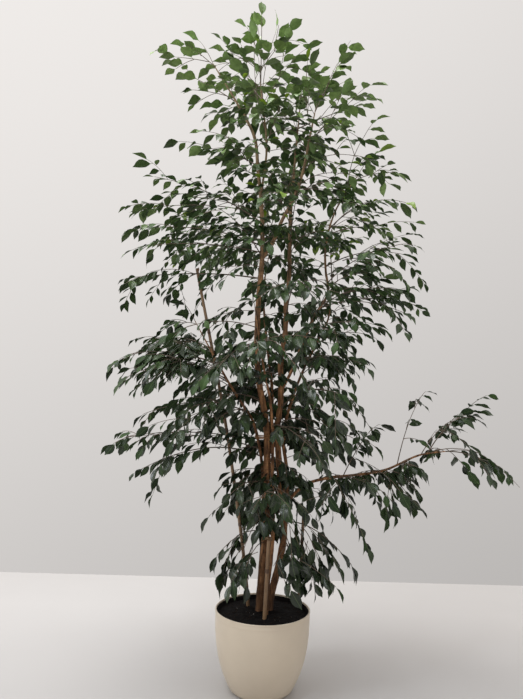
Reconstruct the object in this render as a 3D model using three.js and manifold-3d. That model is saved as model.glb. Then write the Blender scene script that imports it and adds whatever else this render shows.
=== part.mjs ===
// Weeping fig (Ficus benjamina) in a round planter: the pot, its soil, three bamboo canes, the woody stems,
// the tie round them and the leafy branches.
// Millimetres, +Z up. The origin is the centre of the pot's base, +X is the plant's right as seen from its
// front, and +Y points to its back.
import * as THREE from "three";
import { mergeVertices } from "three/addons/utils/BufferGeometryUtils.js";
import Module from "manifold-3d";

const wasm = await Module();
wasm.setup();

// Driving sizes
const GAP = 0.35; // air between pieces that touch
const LEAF_CLEARANCE = 0.6; // air kept round each twig and leaf

const POT = {
  height: 306,
  rimRadius: 194,
  baseRadius: 124,
  flatRadius: 115, // of the flat disc it stands on
  bulge: 2.4, // how full the side is
  wall: 4.5,
  floor: 6,
  lineHeight: 284, // the moulded line below the rim
  lineStep: 0.8,
  lipOut: 1.6,
  lipHeight: 4.5,
  sides: 28,
};
const SOIL = { edge: 284, middle: 291, relief: 5 };
const CANE = { sides: 6, knot: 1.4, knotLength: 9, foot: 110 };
const STEM = { foot: 120, fullness: 1.7 }; // how low the stems reach in the soil, and how late they narrow
const TIE = { height: 1000, width: 7, thickness: 3.5, knot: 6.5 };
const TWIG = { sides: 3, tipRadius: 2.2, baseRadius: 2.4, thickening: 0.0045, spraySpacing: 420, step: 170 };
const LEAF = { shortest: 84, longest: 108, breadth: 0.43, ridge: 2.4, sunk: 0.5, spacing: 104, overhang: 65 };

// Colours
const COLOURS = {
  pot: 0xd8cdb4,
  soil: 0x1b1412,
  cane: 0xb09a68,
  bark: 0x8c5f42,
  tie: 0xa5764d,
  leafDark: 0x26402a,
  leafLight: 0x3f6a33,
};

// The canes: path and radius at the foot and at the top.
const CANES = {
  cane_left: {
    radii: [7.5, 6.5], knots: 8,
    path: [[-61, 69, CANE.foot], [-61, 69, 286], [-172, 48, 1000], [-337, 32, 1750]],
  },
  cane_front: { radii: [8, 7.5], knots: 2, path: [[4, -81, CANE.foot], [7, -78, 286], [18, -60, 601]] },
  cane_right: { radii: [7, 6.5], knots: 2, path: [[145, 80, 200], [153, 84, 286], [172, 96, 690]] },
};

// The woody stems, each with its limbs. A limb starts on the axis of what bears it.
const STEMS = {
  main: {
    radii: [16, 4], sides: 7, steps: 18,
    path: [[-13, 12, STEM.foot], [-13, 12, 324], [4, 5, 571], [2, 0, 801], [-1, 0, 1030], [-46, -10, 1282],
      [-53, -10, 1579], [-41, -8, 1805], [-53, 0, 2072], [-71, 10, 2218], [-92, 15, 2384], [-170, 20, 2540],
      [-300, 10, 2750]],
    limbs: {
      fork: { radii: [8.5, 3], sides: 5, steps: 8,
        path: [[-42, -8, 1790], [3, -30, 1858], [43, -42, 1960], [84, -48, 2040], [130, -45, 2180],
          [160, -35, 2350], [190, -20, 2520]] },
      leader: { radii: [5, 3], sides: 5, steps: 5,
        path: [[-55, 2, 2100], [-38, -14, 2230], [-35, -16, 2340], [-62, -5, 2564], [-72, 0, 2660]] },
    },
  },
  right: {
    radii: [15, 4], sides: 7, steps: 16,
    path: [[26, 25, STEM.foot], [30, 25, 320], [68, 28, 489], [83, 30, 594], [77, 28, 696], [63, 25, 823],
      [46, 22, 1032], [57, 20, 1176], [54, 20, 1342], [70, 22, 1449], [73, 25, 1621], [83, 30, 1713],
      [84, 30, 2000], [95, 40, 2200], [120, 45, 2550]],
    limbs: {
      sideLimb: { radii: [6.5, 3], sides: 5, steps: 11,
        path: [[57, 20, 1200], [113, 30, 1316], [145, 35, 1407], [200, 40, 1543], [262, 45, 1655],
          [252, 50, 1760], [250, 50, 1867], [287, 50, 2031], [355, 50, 2160], [400, 50, 2229]] },
      longLimb: { radii: [6.5, 3], sides: 5, steps: 9,
        path: [[77, 28, 700], [130, 20, 771], [180, 15, 810], [273, 10, 837], [367, 5, 850], [508, 0, 877],
          [659, 0, 944], [788, 0, 964]] },
    },
  },
  left: {
    radii: [8.5, 3], sides: 6, steps: 14, limbs: {},
    path: [[-18, 48, STEM.foot], [-18, 48, 330], [-8, 44, 600], [-14, 34, 850], [-40, 15, 1000],
      [-70, 12, 1085], [-110, 8, 1140], [-170, 0, 1230], [-260, -10, 1380], [-330, 0, 1500]],
  },
  side: {
    radii: [9, 3], sides: 6, steps: 14, limbs: {},
    path: [[38, 58, STEM.foot], [38, 58, 330], [88, 66, 600], [92, 58, 850], [72, 42, 1000], [95, 62, 1120],
      [150, 100, 1280], [220, 140, 1430], [280, 170, 1560], [300, 185, 1750]],
  },
  back: {
    radii: [10, 3], sides: 6, steps: 15, limbs: {},
    path: [[18, 78, STEM.foot], [18, 78, 330], [10, 80, 600], [6, 70, 850], [14, 48, 1000], [20, 90, 1200],
      [-10, 160, 1450], [-30, 220, 1700], [0, 250, 1950]],
  },
  front: {
    radii: [9, 3], sides: 6, steps: 12, limbs: {},
    path: [[14, -26, STEM.foot], [14, -26, 330], [34, -32, 600], [26, -27, 850], [25, -18, 1000],
      [10, -60, 1150], [-30, -120, 1330], [-60, -170, 1500]],
  },
};

// A leafy branch: the limb it leaves, the height there (for the long limb, the distance to the right), how
// far its middle is lifted, how steeply its leaves hang, and where its last leaves end. The main twig heads
// for the first of these places, and twigs that fork off it head for the others.
const bough = (limb, at, arch, hang, ...tips) => ({ limb, at, arch, hang, tips });

const BRANCHES = {
  leader: bough("leader", 2640, 0, 0.1, [-75, 0, 3062], [92, -60, 2930], [-165, 60, 3030]),
  top_left: bough("main", 2735, 10, 0.15, [-480, 0, 2880], [-525, -60, 2736]),
  top_left_low: bough("main", 2560, 15, 0.25, [-480, 150, 2810], [-445, -40, 2590]),
  top_right: bough("fork", 2500, 20, 0.2, [350, 40, 2870], [300, 190, 2780]),
  top_right_low: bough("fork", 2330, 30, 0.3, [415, -60, 2600], [318, -260, 2320]),
  top_right_back: bough("right", 2450, 20, 0.3, [480, 130, 2655]),
  top_front: bough("leader", 2330, 40, 0.4, [55, -320, 2420], [180, -200, 2330]),
  top_back: bough("leader", 2560, 20, 0.2, [-188, 300, 2880]),
  top_back_right: bough("right", 2535, 10, 0.2, [134, 320, 2920]),
  upper_left: bough("main", 2240, 40, 0.45, [-365, 200, 2420], [-240, -230, 2290]),
  mid_left: bough("main", 1960, 70, 0.35, [-595, -50, 2172], [-670, 70, 2040]),
  mid_left_low: bough("main", 1850, 80, 0.5, [-640, -120, 1885]),
  mid_left_back: bough("back", 1850, 60, 0.5, [-570, 300, 1980], [-440, 430, 2130]),
  mid_left_front: bough("main", 1800, 60, 0.5, [-245, -400, 1900]),
  mid_right: bough("sideLimb", 2200, 30, 0.3, [630, 0, 2236]),
  mid_right_front: bough("sideLimb", 1960, 60, 0.5, [470, -330, 1970]),
  mid_right_back: bough("sideLimb", 1930, 60, 0.45, [635, 330, 2070]),
  mid_right_level: bough("sideLimb", 1780, 80, 0.5, [675, 0, 1841], [514, -330, 1660]),
  mid_right_low: bough("sideLimb", 1580, 80, 0.6, [735, 90, 1625], [650, -90, 1530]),
  mid_front: bough("right", 1880, 70, 0.6, [95, -430, 1975], [-60, -320, 2120]),
  mid_front_low: bough("right", 1540, 90, 0.9, [103, -480, 1595]),
  mid_back: bough("back", 1940, 20, 0.4, [-68, 440, 2380], [150, 300, 2450]),
  mid_back_right: bough("side", 1740, 20, 0.45, [310, 430, 2190]),
  level_left: bough("main", 1700, 45, 0.8, [-710, -20, 1680]),
  cluster_right: bough("right", 1380, 110, 0.8, [400, -330, 1465]),
  cluster_back: bough("side", 1430, 90, 0.8, [590, 300, 1500]),
  mass_left: bough("left", 1230, 90, 0.8, [-600, -30, 1275], [-387, -330, 1385]),
  mass_left_high: bough("left", 1380, 70, 0.7, [-610, 220, 1435]),
  mass_left_low: bough("left", 1110, 90, 1, [-615, 80, 1085], [-375, -330, 1000]),
  low_left: bough("left", 920, 130, 1.1, [-620, -10, 830]),
  front_left: bough("front", 1380, 70, 1, [-220, -460, 1230], [56, -500, 1340]),
  back_left: bough("back", 1250, 80, 1, [-385, 480, 1165]),
  low_right: bough("right", 1120, 100, 1.1, [310, -300, 1195], [360, -80, 1035]),
  low_right_back: bough("side", 1180, 90, 1.1, [470, 120, 1160], [265, 480, 1300]),
  limb_near: bough("longLimb", 330, 30, 0.9, [470, -90, 1110]),
  limb_upright: bough("longLimb", 690, 90, 0.5, [960, -20, 1180]),
  limb_end: bough("longLimb", 770, 45, 0.8, [1080, 0, 860]),
  limb_hanging: bough("longLimb", 510, 70, 1.4, [545, -80, 660], [688, 90, 700]),
  limb_inner: bough("longLimb", 270, 60, 1.3, [330, -180, 745]),
  base_left: bough("left", 800, 60, 1.3, [-176, -280, 775]),
  base_left_low: bough("left", 600, 70, 1.4, [-250, -40, 490]),
  base_front_left: bough("main", 560, 60, 1.5, [-100, -190, 480]),
  base_front_right: bough("right", 600, 60, 1.5, [124, -200, 480]),
  base_front: bough("front", 800, 70, 1.4, [70, -370, 705], [-73, -380, 735]),
  base_right: bough("side", 640, 90, 1.3, [425, 10, 450], [250, -90, 455]),
  base_right_back: bough("side", 760, 70, 1.3, [245, 400, 710]),
  base_back: bough("back", 800, 70, 1.3, [-48, 420, 790], [-225, 290, 610]),
};

const UP = new THREE.Vector3(0, 0, 1);

// A repeatable number from 0 to 1 for any keys.
function chance(...keys) {
  const weights = [12.9898, 78.233, 37.719, 4.581];
  const sum = keys.reduce((total, key, i) => total + key * weights[i], 0);
  const wave = Math.sin(sum) * 43758.5453;
  return wave - Math.floor(wave);
}

// Solids

function shared(geometry) {
  geometry.deleteAttribute("normal");
  geometry.deleteAttribute("uv");
  return mergeVertices(geometry, 1e-4);
}

function solidOf(geometry) {
  const merged = shared(geometry);
  const vertProperties = new Float32Array(merged.attributes.position.array);
  const triVerts = new Uint32Array(merged.index.array);
  return new wasm.Manifold(new wasm.Mesh({ numProp: 3, vertProperties, triVerts }));
}

function geometryOf(solid) {
  const mesh = solid.getMesh();
  const points = new Float32Array(mesh.numVert * 3);
  for (let i = 0; i < mesh.numVert; i++) {
    points.set(mesh.vertProperties.subarray(i * mesh.numProp, i * mesh.numProp + 3), i * 3);
  }
  const geometry = new THREE.BufferGeometry();
  geometry.setAttribute("position", new THREE.BufferAttribute(points, 3));
  geometry.setIndex(new THREE.BufferAttribute(mesh.triVerts, 1));
  return geometry;
}

function largestBody(solid) {
  return solid.decompose().sort((a, b) => b.volume() - a.volume())[0];
}

// A tube along a curve with flat ends. Each station has its place u on the curve, 0 to 1, and its radius.
function tubeGeometry(curve, stations, sides) {
  const points = [];
  const faces = [];
  let normal = null;
  stations.forEach(({ u, radius }) => {
    const centre = curve.getPointAt(u);
    const tangent = curve.getTangentAt(u);
    normal ??= Math.abs(tangent.x) < 0.7 ? new THREE.Vector3(1, 0, 0) : new THREE.Vector3(0, 1, 0);
    normal.addScaledVector(tangent, -normal.dot(tangent)).normalize();
    const across = new THREE.Vector3().crossVectors(tangent, normal);
    for (let j = 0; j < sides; j++) {
      const angle = (2 * Math.PI * j) / sides;
      const point = centre.clone();
      point.addScaledVector(normal, radius * Math.cos(angle));
      point.addScaledVector(across, radius * Math.sin(angle));
      points.push(point.x, point.y, point.z);
    }
  });
  for (let i = 0; i < stations.length - 1; i++) {
    for (let j = 0; j < sides; j++) {
      const a = i * sides + j;
      const b = i * sides + ((j + 1) % sides);
      faces.push(a, b, a + sides, b, b + sides, a + sides);
    }
  }
  const last = (stations.length - 1) * sides;
  for (let j = 1; j < sides - 1; j++) {
    faces.push(0, j + 1, j);
    faces.push(last, last + j, last + j + 1);
  }
  const geometry = new THREE.BufferGeometry();
  geometry.setAttribute("position", new THREE.Float32BufferAttribute(points, 3));
  geometry.setIndex(faces);
  return geometry;
}

// Stations that narrow evenly along a tube, or late where the fullness is over 1.
function taper(steps, radii, grow, fullness = 1) {
  const stations = [];
  for (let i = 0; i <= steps; i++) {
    const u = i / steps;
    stations.push({ u, radius: THREE.MathUtils.lerp(radii[0], radii[1], u ** fullness) + grow });
  }
  return stations;
}

function curveThrough(path) {
  return new THREE.CatmullRomCurve3(path.map((point) => new THREE.Vector3(...point)));
}

// Turns a profile of [radius, height] points about the Z axis.
function turned(profile) {
  const points = profile.map(([radius, height]) => new THREE.Vector2(radius, height));
  return new THREE.LatheGeometry(points, POT.sides).rotateX(Math.PI / 2);
}

// Pot and soil

function potRadius(height) {
  const rise = 1 - (1 - height / POT.height) ** POT.bulge;
  return POT.baseRadius + (POT.rimRadius - POT.baseRadius) * rise;
}

const INSIDE_HEIGHTS = [POT.floor + 4, 90, SOIL.edge];

function potInside(inset) {
  return INSIDE_HEIGHTS.map((height) => [potRadius(height) - POT.wall - inset, height]);
}

function potSolid() {
  const { height, rimRadius, flatRadius, wall, lineHeight, lineStep, lipOut, lipHeight } = POT;
  const side = [9, 38, 88, 150, 215, lineHeight].map((z) => [potRadius(z), z]);
  const outside = [
    [0, 0], [flatRadius, 0], ...side,
    [potRadius(lineHeight) + lineStep, lineHeight + 1.2],
    [rimRadius + lineStep, height - lipHeight - 1],
    [rimRadius + lipOut, height - lipHeight],
    [rimRadius + lipOut, height - 1],
    [rimRadius + lipOut - 1.2, height],
    [rimRadius - wall + 1, height],
  ];
  const inside = potInside(0).reverse();
  return solidOf(turned([...outside, ...inside, [inside.at(-1)[0] - 4, POT.floor], [0, POT.floor]]));
}

function soilSolid(standing) {
  const wall = potInside(GAP);
  const rim = wall.at(-1)[0];
  const slope = [0.6 * rim, THREE.MathUtils.lerp(SOIL.middle, SOIL.edge, 0.6)];
  const bottom = POT.floor + GAP;
  const body = shared(turned([[0, bottom], [wall[0][0] - 4, bottom], ...wall, slope, [0, SOIL.middle]]));
  const place = body.attributes.position;
  for (let i = 0; i < place.count; i++) {
    const inner = Math.hypot(place.getX(i), place.getY(i)) < rim - 5 && place.getZ(i) > SOIL.edge;
    if (inner) place.setZ(i, place.getZ(i) + SOIL.relief * (chance(i, 3) - 0.5));
  }
  return standing.reduce((soil, hole) => soil.subtract(hole), solidOf(body));
}

// Canes

function caneSolid({ path, radii, knots }, grow) {
  const curve = curveThrough(path);
  const length = curve.getLength();
  const half = CANE.knotLength / 2 / length;
  const stations = [{ u: 0, radius: radii[0] + grow }];
  for (let k = 0; k < knots; k++) {
    const u = (k + 0.75 + 0.2 * chance(k, knots)) / knots - 0.3 / knots;
    const radius = THREE.MathUtils.lerp(radii[0], radii[1], u) + grow;
    stations.push({ u: u - half, radius }, { u, radius: radius + CANE.knot }, { u: u + half, radius });
  }
  stations.push({ u: 1, radius: radii[1] + grow });
  return solidOf(tubeGeometry(curve, stations, CANE.sides));
}

// Woody stems

function stemSolid(stem, grow) {
  const tubes = [stem, ...Object.values(stem.limbs)].map(({ path, radii, sides, steps }) =>
    solidOf(tubeGeometry(curveThrough(path), taper(steps, radii, grow, STEM.fullness), sides)),
  );
  return tubes.reduce((whole, tube) => whole.add(tube));
}

// The corners of a tube's axis, which runs straight from each to the next.
function axisCorners(curve, steps) {
  return Array.from({ length: steps + 1 }, (_, i) => curve.getPointAt(i / steps));
}

// Where an axis first reaches a value of x or z: the point, and its share of the axis.
function whereAxisReaches(corners, key, value) {
  const next = corners.findIndex((corner) => corner[key] >= value);
  if (next < 0) return { point: corners.at(-1).clone(), share: 1 };
  const [before, after] = [corners[next - 1], corners[next]];
  const part = (value - before[key]) / (after[key] - before[key]);
  return { point: before.clone().lerp(after, part), share: (next - 1 + part) / (corners.length - 1) };
}

// Every limb by its name: the corners of its axis, the stem that bears it, and the direction it's read along.
function limbsByName() {
  const limbs = {};
  for (const [name, stem] of Object.entries(STEMS)) {
    for (const [limb, { path, steps }] of [[name, stem], ...Object.entries(stem.limbs)]) {
      const key = limb === "longLimb" ? "x" : "z";
      limbs[limb] = { corners: axisCorners(curveThrough(path), steps), stem: name, key };
    }
  }
  return limbs;
}

// The tie round the stems

function stemCircles(extra) {
  return Object.values(STEMS).flatMap(({ path, radii, steps }) => {
    const { point, share } = whereAxisReaches(axisCorners(curveThrough(path), steps), "z", TIE.height);
    const radius = THREE.MathUtils.lerp(radii[0], radii[1], share ** STEM.fullness) + extra;
    return Array.from({ length: 9 }, (_, j) => {
      const angle = (2 * Math.PI * j) / 9;
      return new THREE.Vector2(point.x + radius * Math.cos(angle), point.y + radius * Math.sin(angle));
    });
  });
}

// The corners of the smallest convex outline round some points, anticlockwise.
function outlineRound(dots) {
  const sorted = [...dots].sort((a, b) => a.x - b.x || a.y - b.y);
  const turnsLeft = (a, b, c) => (b.x - a.x) * (c.y - a.y) - (b.y - a.y) * (c.x - a.x) > 1e-6;
  const half = (points) => {
    const kept = [];
    for (const point of points) {
      while (kept.length > 1 && !turnsLeft(kept.at(-2), kept.at(-1), point)) kept.pop();
      kept.push(point);
    }
    return kept.slice(0, -1);
  };
  return [...half(sorted), ...half([...sorted].reverse())];
}

function tieSolid(stems) {
  const band = new THREE.Shape(outlineRound(stemCircles(TIE.thickness)));
  band.holes.push(new THREE.Path(outlineRound(stemCircles(0.2))));
  const ring = new THREE.ExtrudeGeometry(band, { depth: TIE.width, bevelEnabled: false });
  ring.translate(0, 0, TIE.height - TIE.width / 2);
  const knot = new THREE.IcosahedronGeometry(TIE.knot, 0).scale(1.2, 0.8, 0.9);
  const front = stemCircles(TIE.thickness).reduce((low, dot) => (dot.y < low.y ? dot : low));
  knot.translate(front.x, front.y + 1, TIE.height);
  const tied = solidOf(ring).add(solidOf(knot));
  return stems.reduce((tie, stem) => tie.subtract(stem), tied);
}

// Leafy branches

// A leaf lies along its own X axis with its face to +Z: a root that runs to a point inside the twig, an oval
// blade folded along its midrib, thickest near its foot, and a drooping drip tip.
function leafGeometry(length, grow) {
  const half = (length * LEAF.breadth) / 2 + grow;
  const ridge = LEAF.ridge / 2 + grow;
  const fold = 0.16 * half;
  const points = [
    [-LEAF.sunk - grow, 0, 0],
    [0.36 * length, -half, fold], [0.7 * length, -0.78 * half, 0.7 * fold],
    [length + 2 * grow, 0, -0.1 * length],
    [0.7 * length, 0.78 * half, 0.7 * fold], [0.36 * length, half, fold],
    [0.36 * length, 0, ridge], [0.36 * length, 0, -ridge],
  ];
  const rim = [0, 1, 2, 3, 4, 5];
  const [top, bottom] = [6, 7];
  const faces = rim.flatMap((corner) => {
    const next = (corner + 1) % rim.length;
    return [top, corner, next, bottom, next, corner];
  });
  const geometry = new THREE.BufferGeometry();
  geometry.setAttribute("position", new THREE.Float32BufferAttribute(points.flat(), 3));
  geometry.setIndex(faces);
  return geometry;
}

function leafSolid({ root, along, face, length }, grow) {
  const normal = face.clone().addScaledVector(along, -face.dot(along)).normalize();
  const across = new THREE.Vector3().crossVectors(normal, along);
  const turn = new THREE.Matrix4().makeBasis(along, across, normal).setPosition(root);
  return solidOf(leafGeometry(length, grow).applyMatrix4(turn));
}

function twigSolid({ curve, radii, steps }, grow) {
  return solidOf(tubeGeometry(curve, taper(steps, radii, grow), TWIG.sides));
}

// The point at a share of a twig's length, on its axis.
function pointOnTwig({ curve, steps }, u) {
  const corners = axisCorners(curve, steps);
  const part = Math.min(steps - 1, Math.floor(u * steps));
  return corners[part].lerp(corners[part + 1], u * steps - part);
}

function twigAlong(start, tip, arch, sway, thick) {
  const span = tip.clone().sub(start);
  const aside = new THREE.Vector3().crossVectors(span, UP).normalize();
  const bend = start.clone().lerp(tip, 0.45).addScaledVector(UP, arch).addScaledVector(aside, sway);
  const curve = new THREE.QuadraticBezierCurve3(start, bend, tip);
  const length = curve.getLength();
  const base = thick * (TWIG.baseRadius + TWIG.thickening * length);
  const steps = Math.max(1, Math.round(length / TWIG.step));
  return { curve, length, steps, radii: [base, TWIG.tipRadius] };
}

// Keeps the solids already placed, so that new ones can be bent clear of them.
class Placed {
  items = [];

  add(owner, part, solid) {
    this.items.push({ owner, part, solid, box: solid.boundingBox() });
  }

  blocks(solid, passes) {
    const { min, max } = solid.boundingBox();
    return this.items.some(({ owner, part, solid: other, box }) => {
      const apart = [0, 1, 2].some((k) => box.min[k] > max[k] || box.max[k] < min[k]);
      return !apart && !passes(owner, part) && !solid.intersect(other).isEmpty();
    });
  }
}

const SWAYS = [0, 35, -35, 70, -70, 110, -110, 150, -150];

// A twig from start to tip, bent aside until it's clear of everything that isn't its own.
function clearTwig(placed, name, carrier, start, tip, arch, thick) {
  const mine = (owner) => owner === name || owner === carrier;
  for (const lift of [0, 25, -25, 60]) {
    for (const sway of SWAYS) {
      const twig = twigAlong(start, tip, arch + lift, sway, thick);
      if (!placed.blocks(twigSolid(twig, LEAF_CLEARANCE), mine)) return twig;
    }
  }
  throw new Error(name + " has no clear way to its tip");
}

// The side twigs that a twig bears, left and right in turn.
function sideTwigs(twig, seed, hang) {
  const sides = [];
  const count = THREE.MathUtils.clamp(Math.round(twig.length / TWIG.spraySpacing), 1, 3);
  for (let k = 0; k < count; k++) {
    const u = 0.34 + (0.5 * (k + 0.3 * chance(seed, k, 1))) / count;
    const start = pointOnTwig(twig, u);
    const heading = twig.curve.getTangentAt(u);
    const turn = (k % 2 ? 1 : -1) * THREE.MathUtils.degToRad(42 + 16 * chance(seed, k, 2));
    heading.applyAxisAngle(UP, turn);
    heading.z += 0.35 * (chance(seed, k, 3) - 0.35) - 0.2 * hang;
    const reach = THREE.MathUtils.clamp(twig.length * 0.42 * (1.15 - 0.6 * u), 110, 260);
    sides.push({ start, tip: start.clone().addScaledVector(heading.normalize(), reach), arch: 0.1 * reach });
  }
  return sides;
}

// Where a twig ends so that its last leaf reaches a place.
function shortOf(start, place) {
  const reach = place.clone().sub(start);
  return start.clone().add(reach.setLength(reach.length() - LEAF.overhang));
}

// The twigs of one branch: its main twig, the forks to its other tips, and the side twigs of each.
function twigsOf(placed, name, seed, branch, limb) {
  const [first, ...others] = branch.tips.map((tip) => new THREE.Vector3(...tip));
  const start = whereAxisReaches(limb.corners, limb.key, branch.at).point;
  const main = clearTwig(placed, name, limb.stem, start, shortOf(start, first), branch.arch, 1);
  const arms = [main];
  others.forEach((tip, k) => {
    const fork = pointOnTwig(main, 0.22 + 0.16 * k);
    arms.push(clearTwig(placed, name, limb.stem, fork, shortOf(fork, tip), 0.6 * branch.arch, 0.8));
  });
  const sprays = arms.flatMap((arm, i) =>
    sideTwigs(arm, seed + i, branch.hang).map(({ start: foot, tip, arch }) =>
      clearTwig(placed, name, limb.stem, foot, tip, arch, 0.7),
    ),
  );
  return { arms, sprays };
}

const TURNS = [0, 0.5, -0.5, 0.9, -0.9, 1.4, -1.4];

// One leaf at a place on a twig, turned until it's clear, or nothing where no turn is clear.
function clearLeaf(placed, name, twig, u, side, seed, hang) {
  const root = pointOnTwig(twig, u);
  const tangent = twig.curve.getTangentAt(u);
  const across = new THREE.Vector3().crossVectors(tangent, UP).normalize();
  const outward = new THREE.Vector3(root.x, root.y, 0).normalize();
  const length = THREE.MathUtils.lerp(LEAF.shortest, LEAF.longest, chance(seed, u, 5));
  for (const turn of TURNS) {
    const along = tangent.clone().multiplyScalar(side ? 0.7 : 1.2).addScaledVector(across, 0.85 * side);
    along.z -= hang + 0.3 * (chance(seed, u, 6) - 0.4);
    along.applyAxisAngle(UP, 0.35 * (chance(seed, u, 7) - 0.5) + turn).normalize();
    const face = UP.clone().addScaledVector(outward, 0.5);
    face.addScaledVector(across, 0.5 * (chance(seed, u, 8) - 0.5));
    const leaf = { root, along, face, length };
    const bearer = (owner, part) => part === twig;
    if (!placed.blocks(leafSolid(leaf, LEAF_CLEARANCE), bearer)) return leafSolid(leaf, 0);
  }
  return null;
}

// Leaves left and right in turn along a twig from a share of its length on, and one at its tip.
function leavesOf(placed, name, twig, from, seed, hang) {
  const leaves = [];
  const count = Math.max(1, Math.round((twig.length * (1 - from)) / LEAF.spacing));
  for (let k = 0; k <= count; k++) {
    const u = k === count ? 1 - 1 / twig.length : from + ((1 - from) * (k + 0.2)) / count;
    const side = k === count ? 0 : (k % 2 ? 1 : -1);
    const leaf = clearLeaf(placed, name, twig, u, side, seed + 0.37 * k, hang);
    if (leaf) {
      placed.add(name, "leaf", leaf);
      leaves.push(leaf);
    }
  }
  return leaves;
}

// Scene graph

function meshOf(name, solid, color, roughness) {
  const material = new THREE.MeshStandardMaterial({ color, roughness, metalness: 0, flatShading: true });
  const mesh = new THREE.Mesh(geometryOf(solid), material);
  mesh.name = name;
  return mesh;
}

function planterGroup(placed, pot, soil) {
  const group = new THREE.Group();
  group.add(meshOf("pot", pot, COLOURS.pot, 0.35), meshOf("soil", soil, COLOURS.soil, 1));
  placed.add("pot", "body", pot);
  placed.add("soil", "body", soil);
  return group;
}

function supportsGroup(placed, canes, stems, tie) {
  const group = new THREE.Group();
  for (const [name, cane] of Object.entries(canes)) {
    group.add(meshOf(name, cane, COLOURS.cane, 0.6));
    placed.add(name, "body", cane);
  }
  for (const [name, stem] of Object.entries(stems)) {
    group.add(meshOf("stem_" + name, stem, COLOURS.bark, 0.85));
    placed.add(name, "body", stem);
  }
  group.add(meshOf("stem_tie", tie, COLOURS.tie, 0.8));
  placed.add("stem_tie", "body", tie);
  return group;
}

function foliageGroup(placed, grownStems) {
  const limbs = limbsByName();
  const grown = Object.entries(BRANCHES).map(([name, branch], seed) => {
    const limb = limbs[branch.limb];
    const twigs = twigsOf(placed, name, seed + 1, branch, limb);
    const wood = [...twigs.arms, ...twigs.sprays].map((twig) => {
      const solid = twigSolid(twig, 0);
      placed.add(name, twig, solid);
      return solid;
    });
    return { name, branch, seed: seed + 1, limb, twigs, wood };
  });
  const group = new THREE.Group();
  for (const { name, branch, seed, limb, twigs, wood } of grown) {
    const leaves = [
      ...twigs.sprays.flatMap((twig, i) => leavesOf(placed, name, twig, 0.45, seed + 7 * i, branch.hang)),
      ...twigs.arms.flatMap((twig, i) => leavesOf(placed, name, twig, 0.38, seed + 11 * i, branch.hang)),
    ];
    const whole = [...wood, ...leaves].reduce((body, piece) => body.add(piece));
    const seated = largestBody(whole.subtract(grownStems[limb.stem]));
    const light = THREE.MathUtils.clamp((branch.tips[0][2] - 1200) / 1700, 0, 1);
    const colour = new THREE.Color(COLOURS.leafDark).lerp(new THREE.Color(COLOURS.leafLight), light);
    group.add(meshOf("branch_" + name, seated, colour, 0.4));
  }
  return group;
}

function mapped(table, make) {
  return Object.fromEntries(Object.entries(table).map(([name, row]) => [name, make(row)]));
}

function fig() {
  const canes = mapped(CANES, (cane) => caneSolid(cane, 0));
  const grownCanes = mapped(CANES, (cane) => caneSolid(cane, GAP));
  const stems = mapped(STEMS, (stem) => stemSolid(stem, 0));
  const grownStems = mapped(STEMS, (stem) => stemSolid(stem, GAP));
  const soil = soilSolid([...Object.values(grownCanes), ...Object.values(grownStems)]);
  const tie = tieSolid(Object.values(grownStems));
  const placed = new Placed();
  const plant = new THREE.Group();
  plant.add(planterGroup(placed, potSolid(), soil));
  plant.add(supportsGroup(placed, canes, stems, tie));
  plant.add(foliageGroup(placed, grownStems));
  return plant;
}

export default fig();
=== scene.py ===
"""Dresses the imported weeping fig: planter, soil, canes, bark, tie and foliage, in metres, +Z up."""
import math
from collections import namedtuple

import bpy
import numpy as np
from mathutils import Matrix, Vector, noise
from mathutils.bvhtree import BVHTree


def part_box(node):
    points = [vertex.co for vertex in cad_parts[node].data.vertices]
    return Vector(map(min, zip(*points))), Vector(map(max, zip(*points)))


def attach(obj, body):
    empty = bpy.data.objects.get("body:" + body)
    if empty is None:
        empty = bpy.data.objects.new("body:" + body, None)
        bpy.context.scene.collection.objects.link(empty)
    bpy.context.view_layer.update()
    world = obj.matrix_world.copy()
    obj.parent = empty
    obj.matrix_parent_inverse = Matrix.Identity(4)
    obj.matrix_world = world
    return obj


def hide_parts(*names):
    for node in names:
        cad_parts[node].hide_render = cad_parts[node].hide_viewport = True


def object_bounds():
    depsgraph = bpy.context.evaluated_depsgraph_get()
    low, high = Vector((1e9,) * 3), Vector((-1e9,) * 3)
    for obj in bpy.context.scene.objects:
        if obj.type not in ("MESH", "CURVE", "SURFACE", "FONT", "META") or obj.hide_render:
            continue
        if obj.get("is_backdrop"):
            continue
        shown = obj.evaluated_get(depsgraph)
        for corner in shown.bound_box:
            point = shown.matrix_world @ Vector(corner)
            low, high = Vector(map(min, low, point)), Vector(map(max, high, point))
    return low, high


bl_info = {
    "name": "Weeping Fig",
    "version": (1, 0, 0),
    "blender": (4, 5, 0),
    "location": "3D View > Sidebar > Fig",
    "description": "Builds the finish of a potted weeping fig round its packed solids",
    "category": "Object",
}

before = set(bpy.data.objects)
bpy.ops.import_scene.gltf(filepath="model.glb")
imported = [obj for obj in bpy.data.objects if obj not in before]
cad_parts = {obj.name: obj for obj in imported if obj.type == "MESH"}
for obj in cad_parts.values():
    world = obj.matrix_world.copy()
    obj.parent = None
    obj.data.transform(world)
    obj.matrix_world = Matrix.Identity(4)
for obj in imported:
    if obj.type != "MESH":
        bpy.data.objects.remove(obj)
CAD_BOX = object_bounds()
POT_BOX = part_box("pot")
LIP_OUT = 0.0016  # how far the planter's lip stands out from its side

UP = Vector((0, 0, 1))

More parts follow.
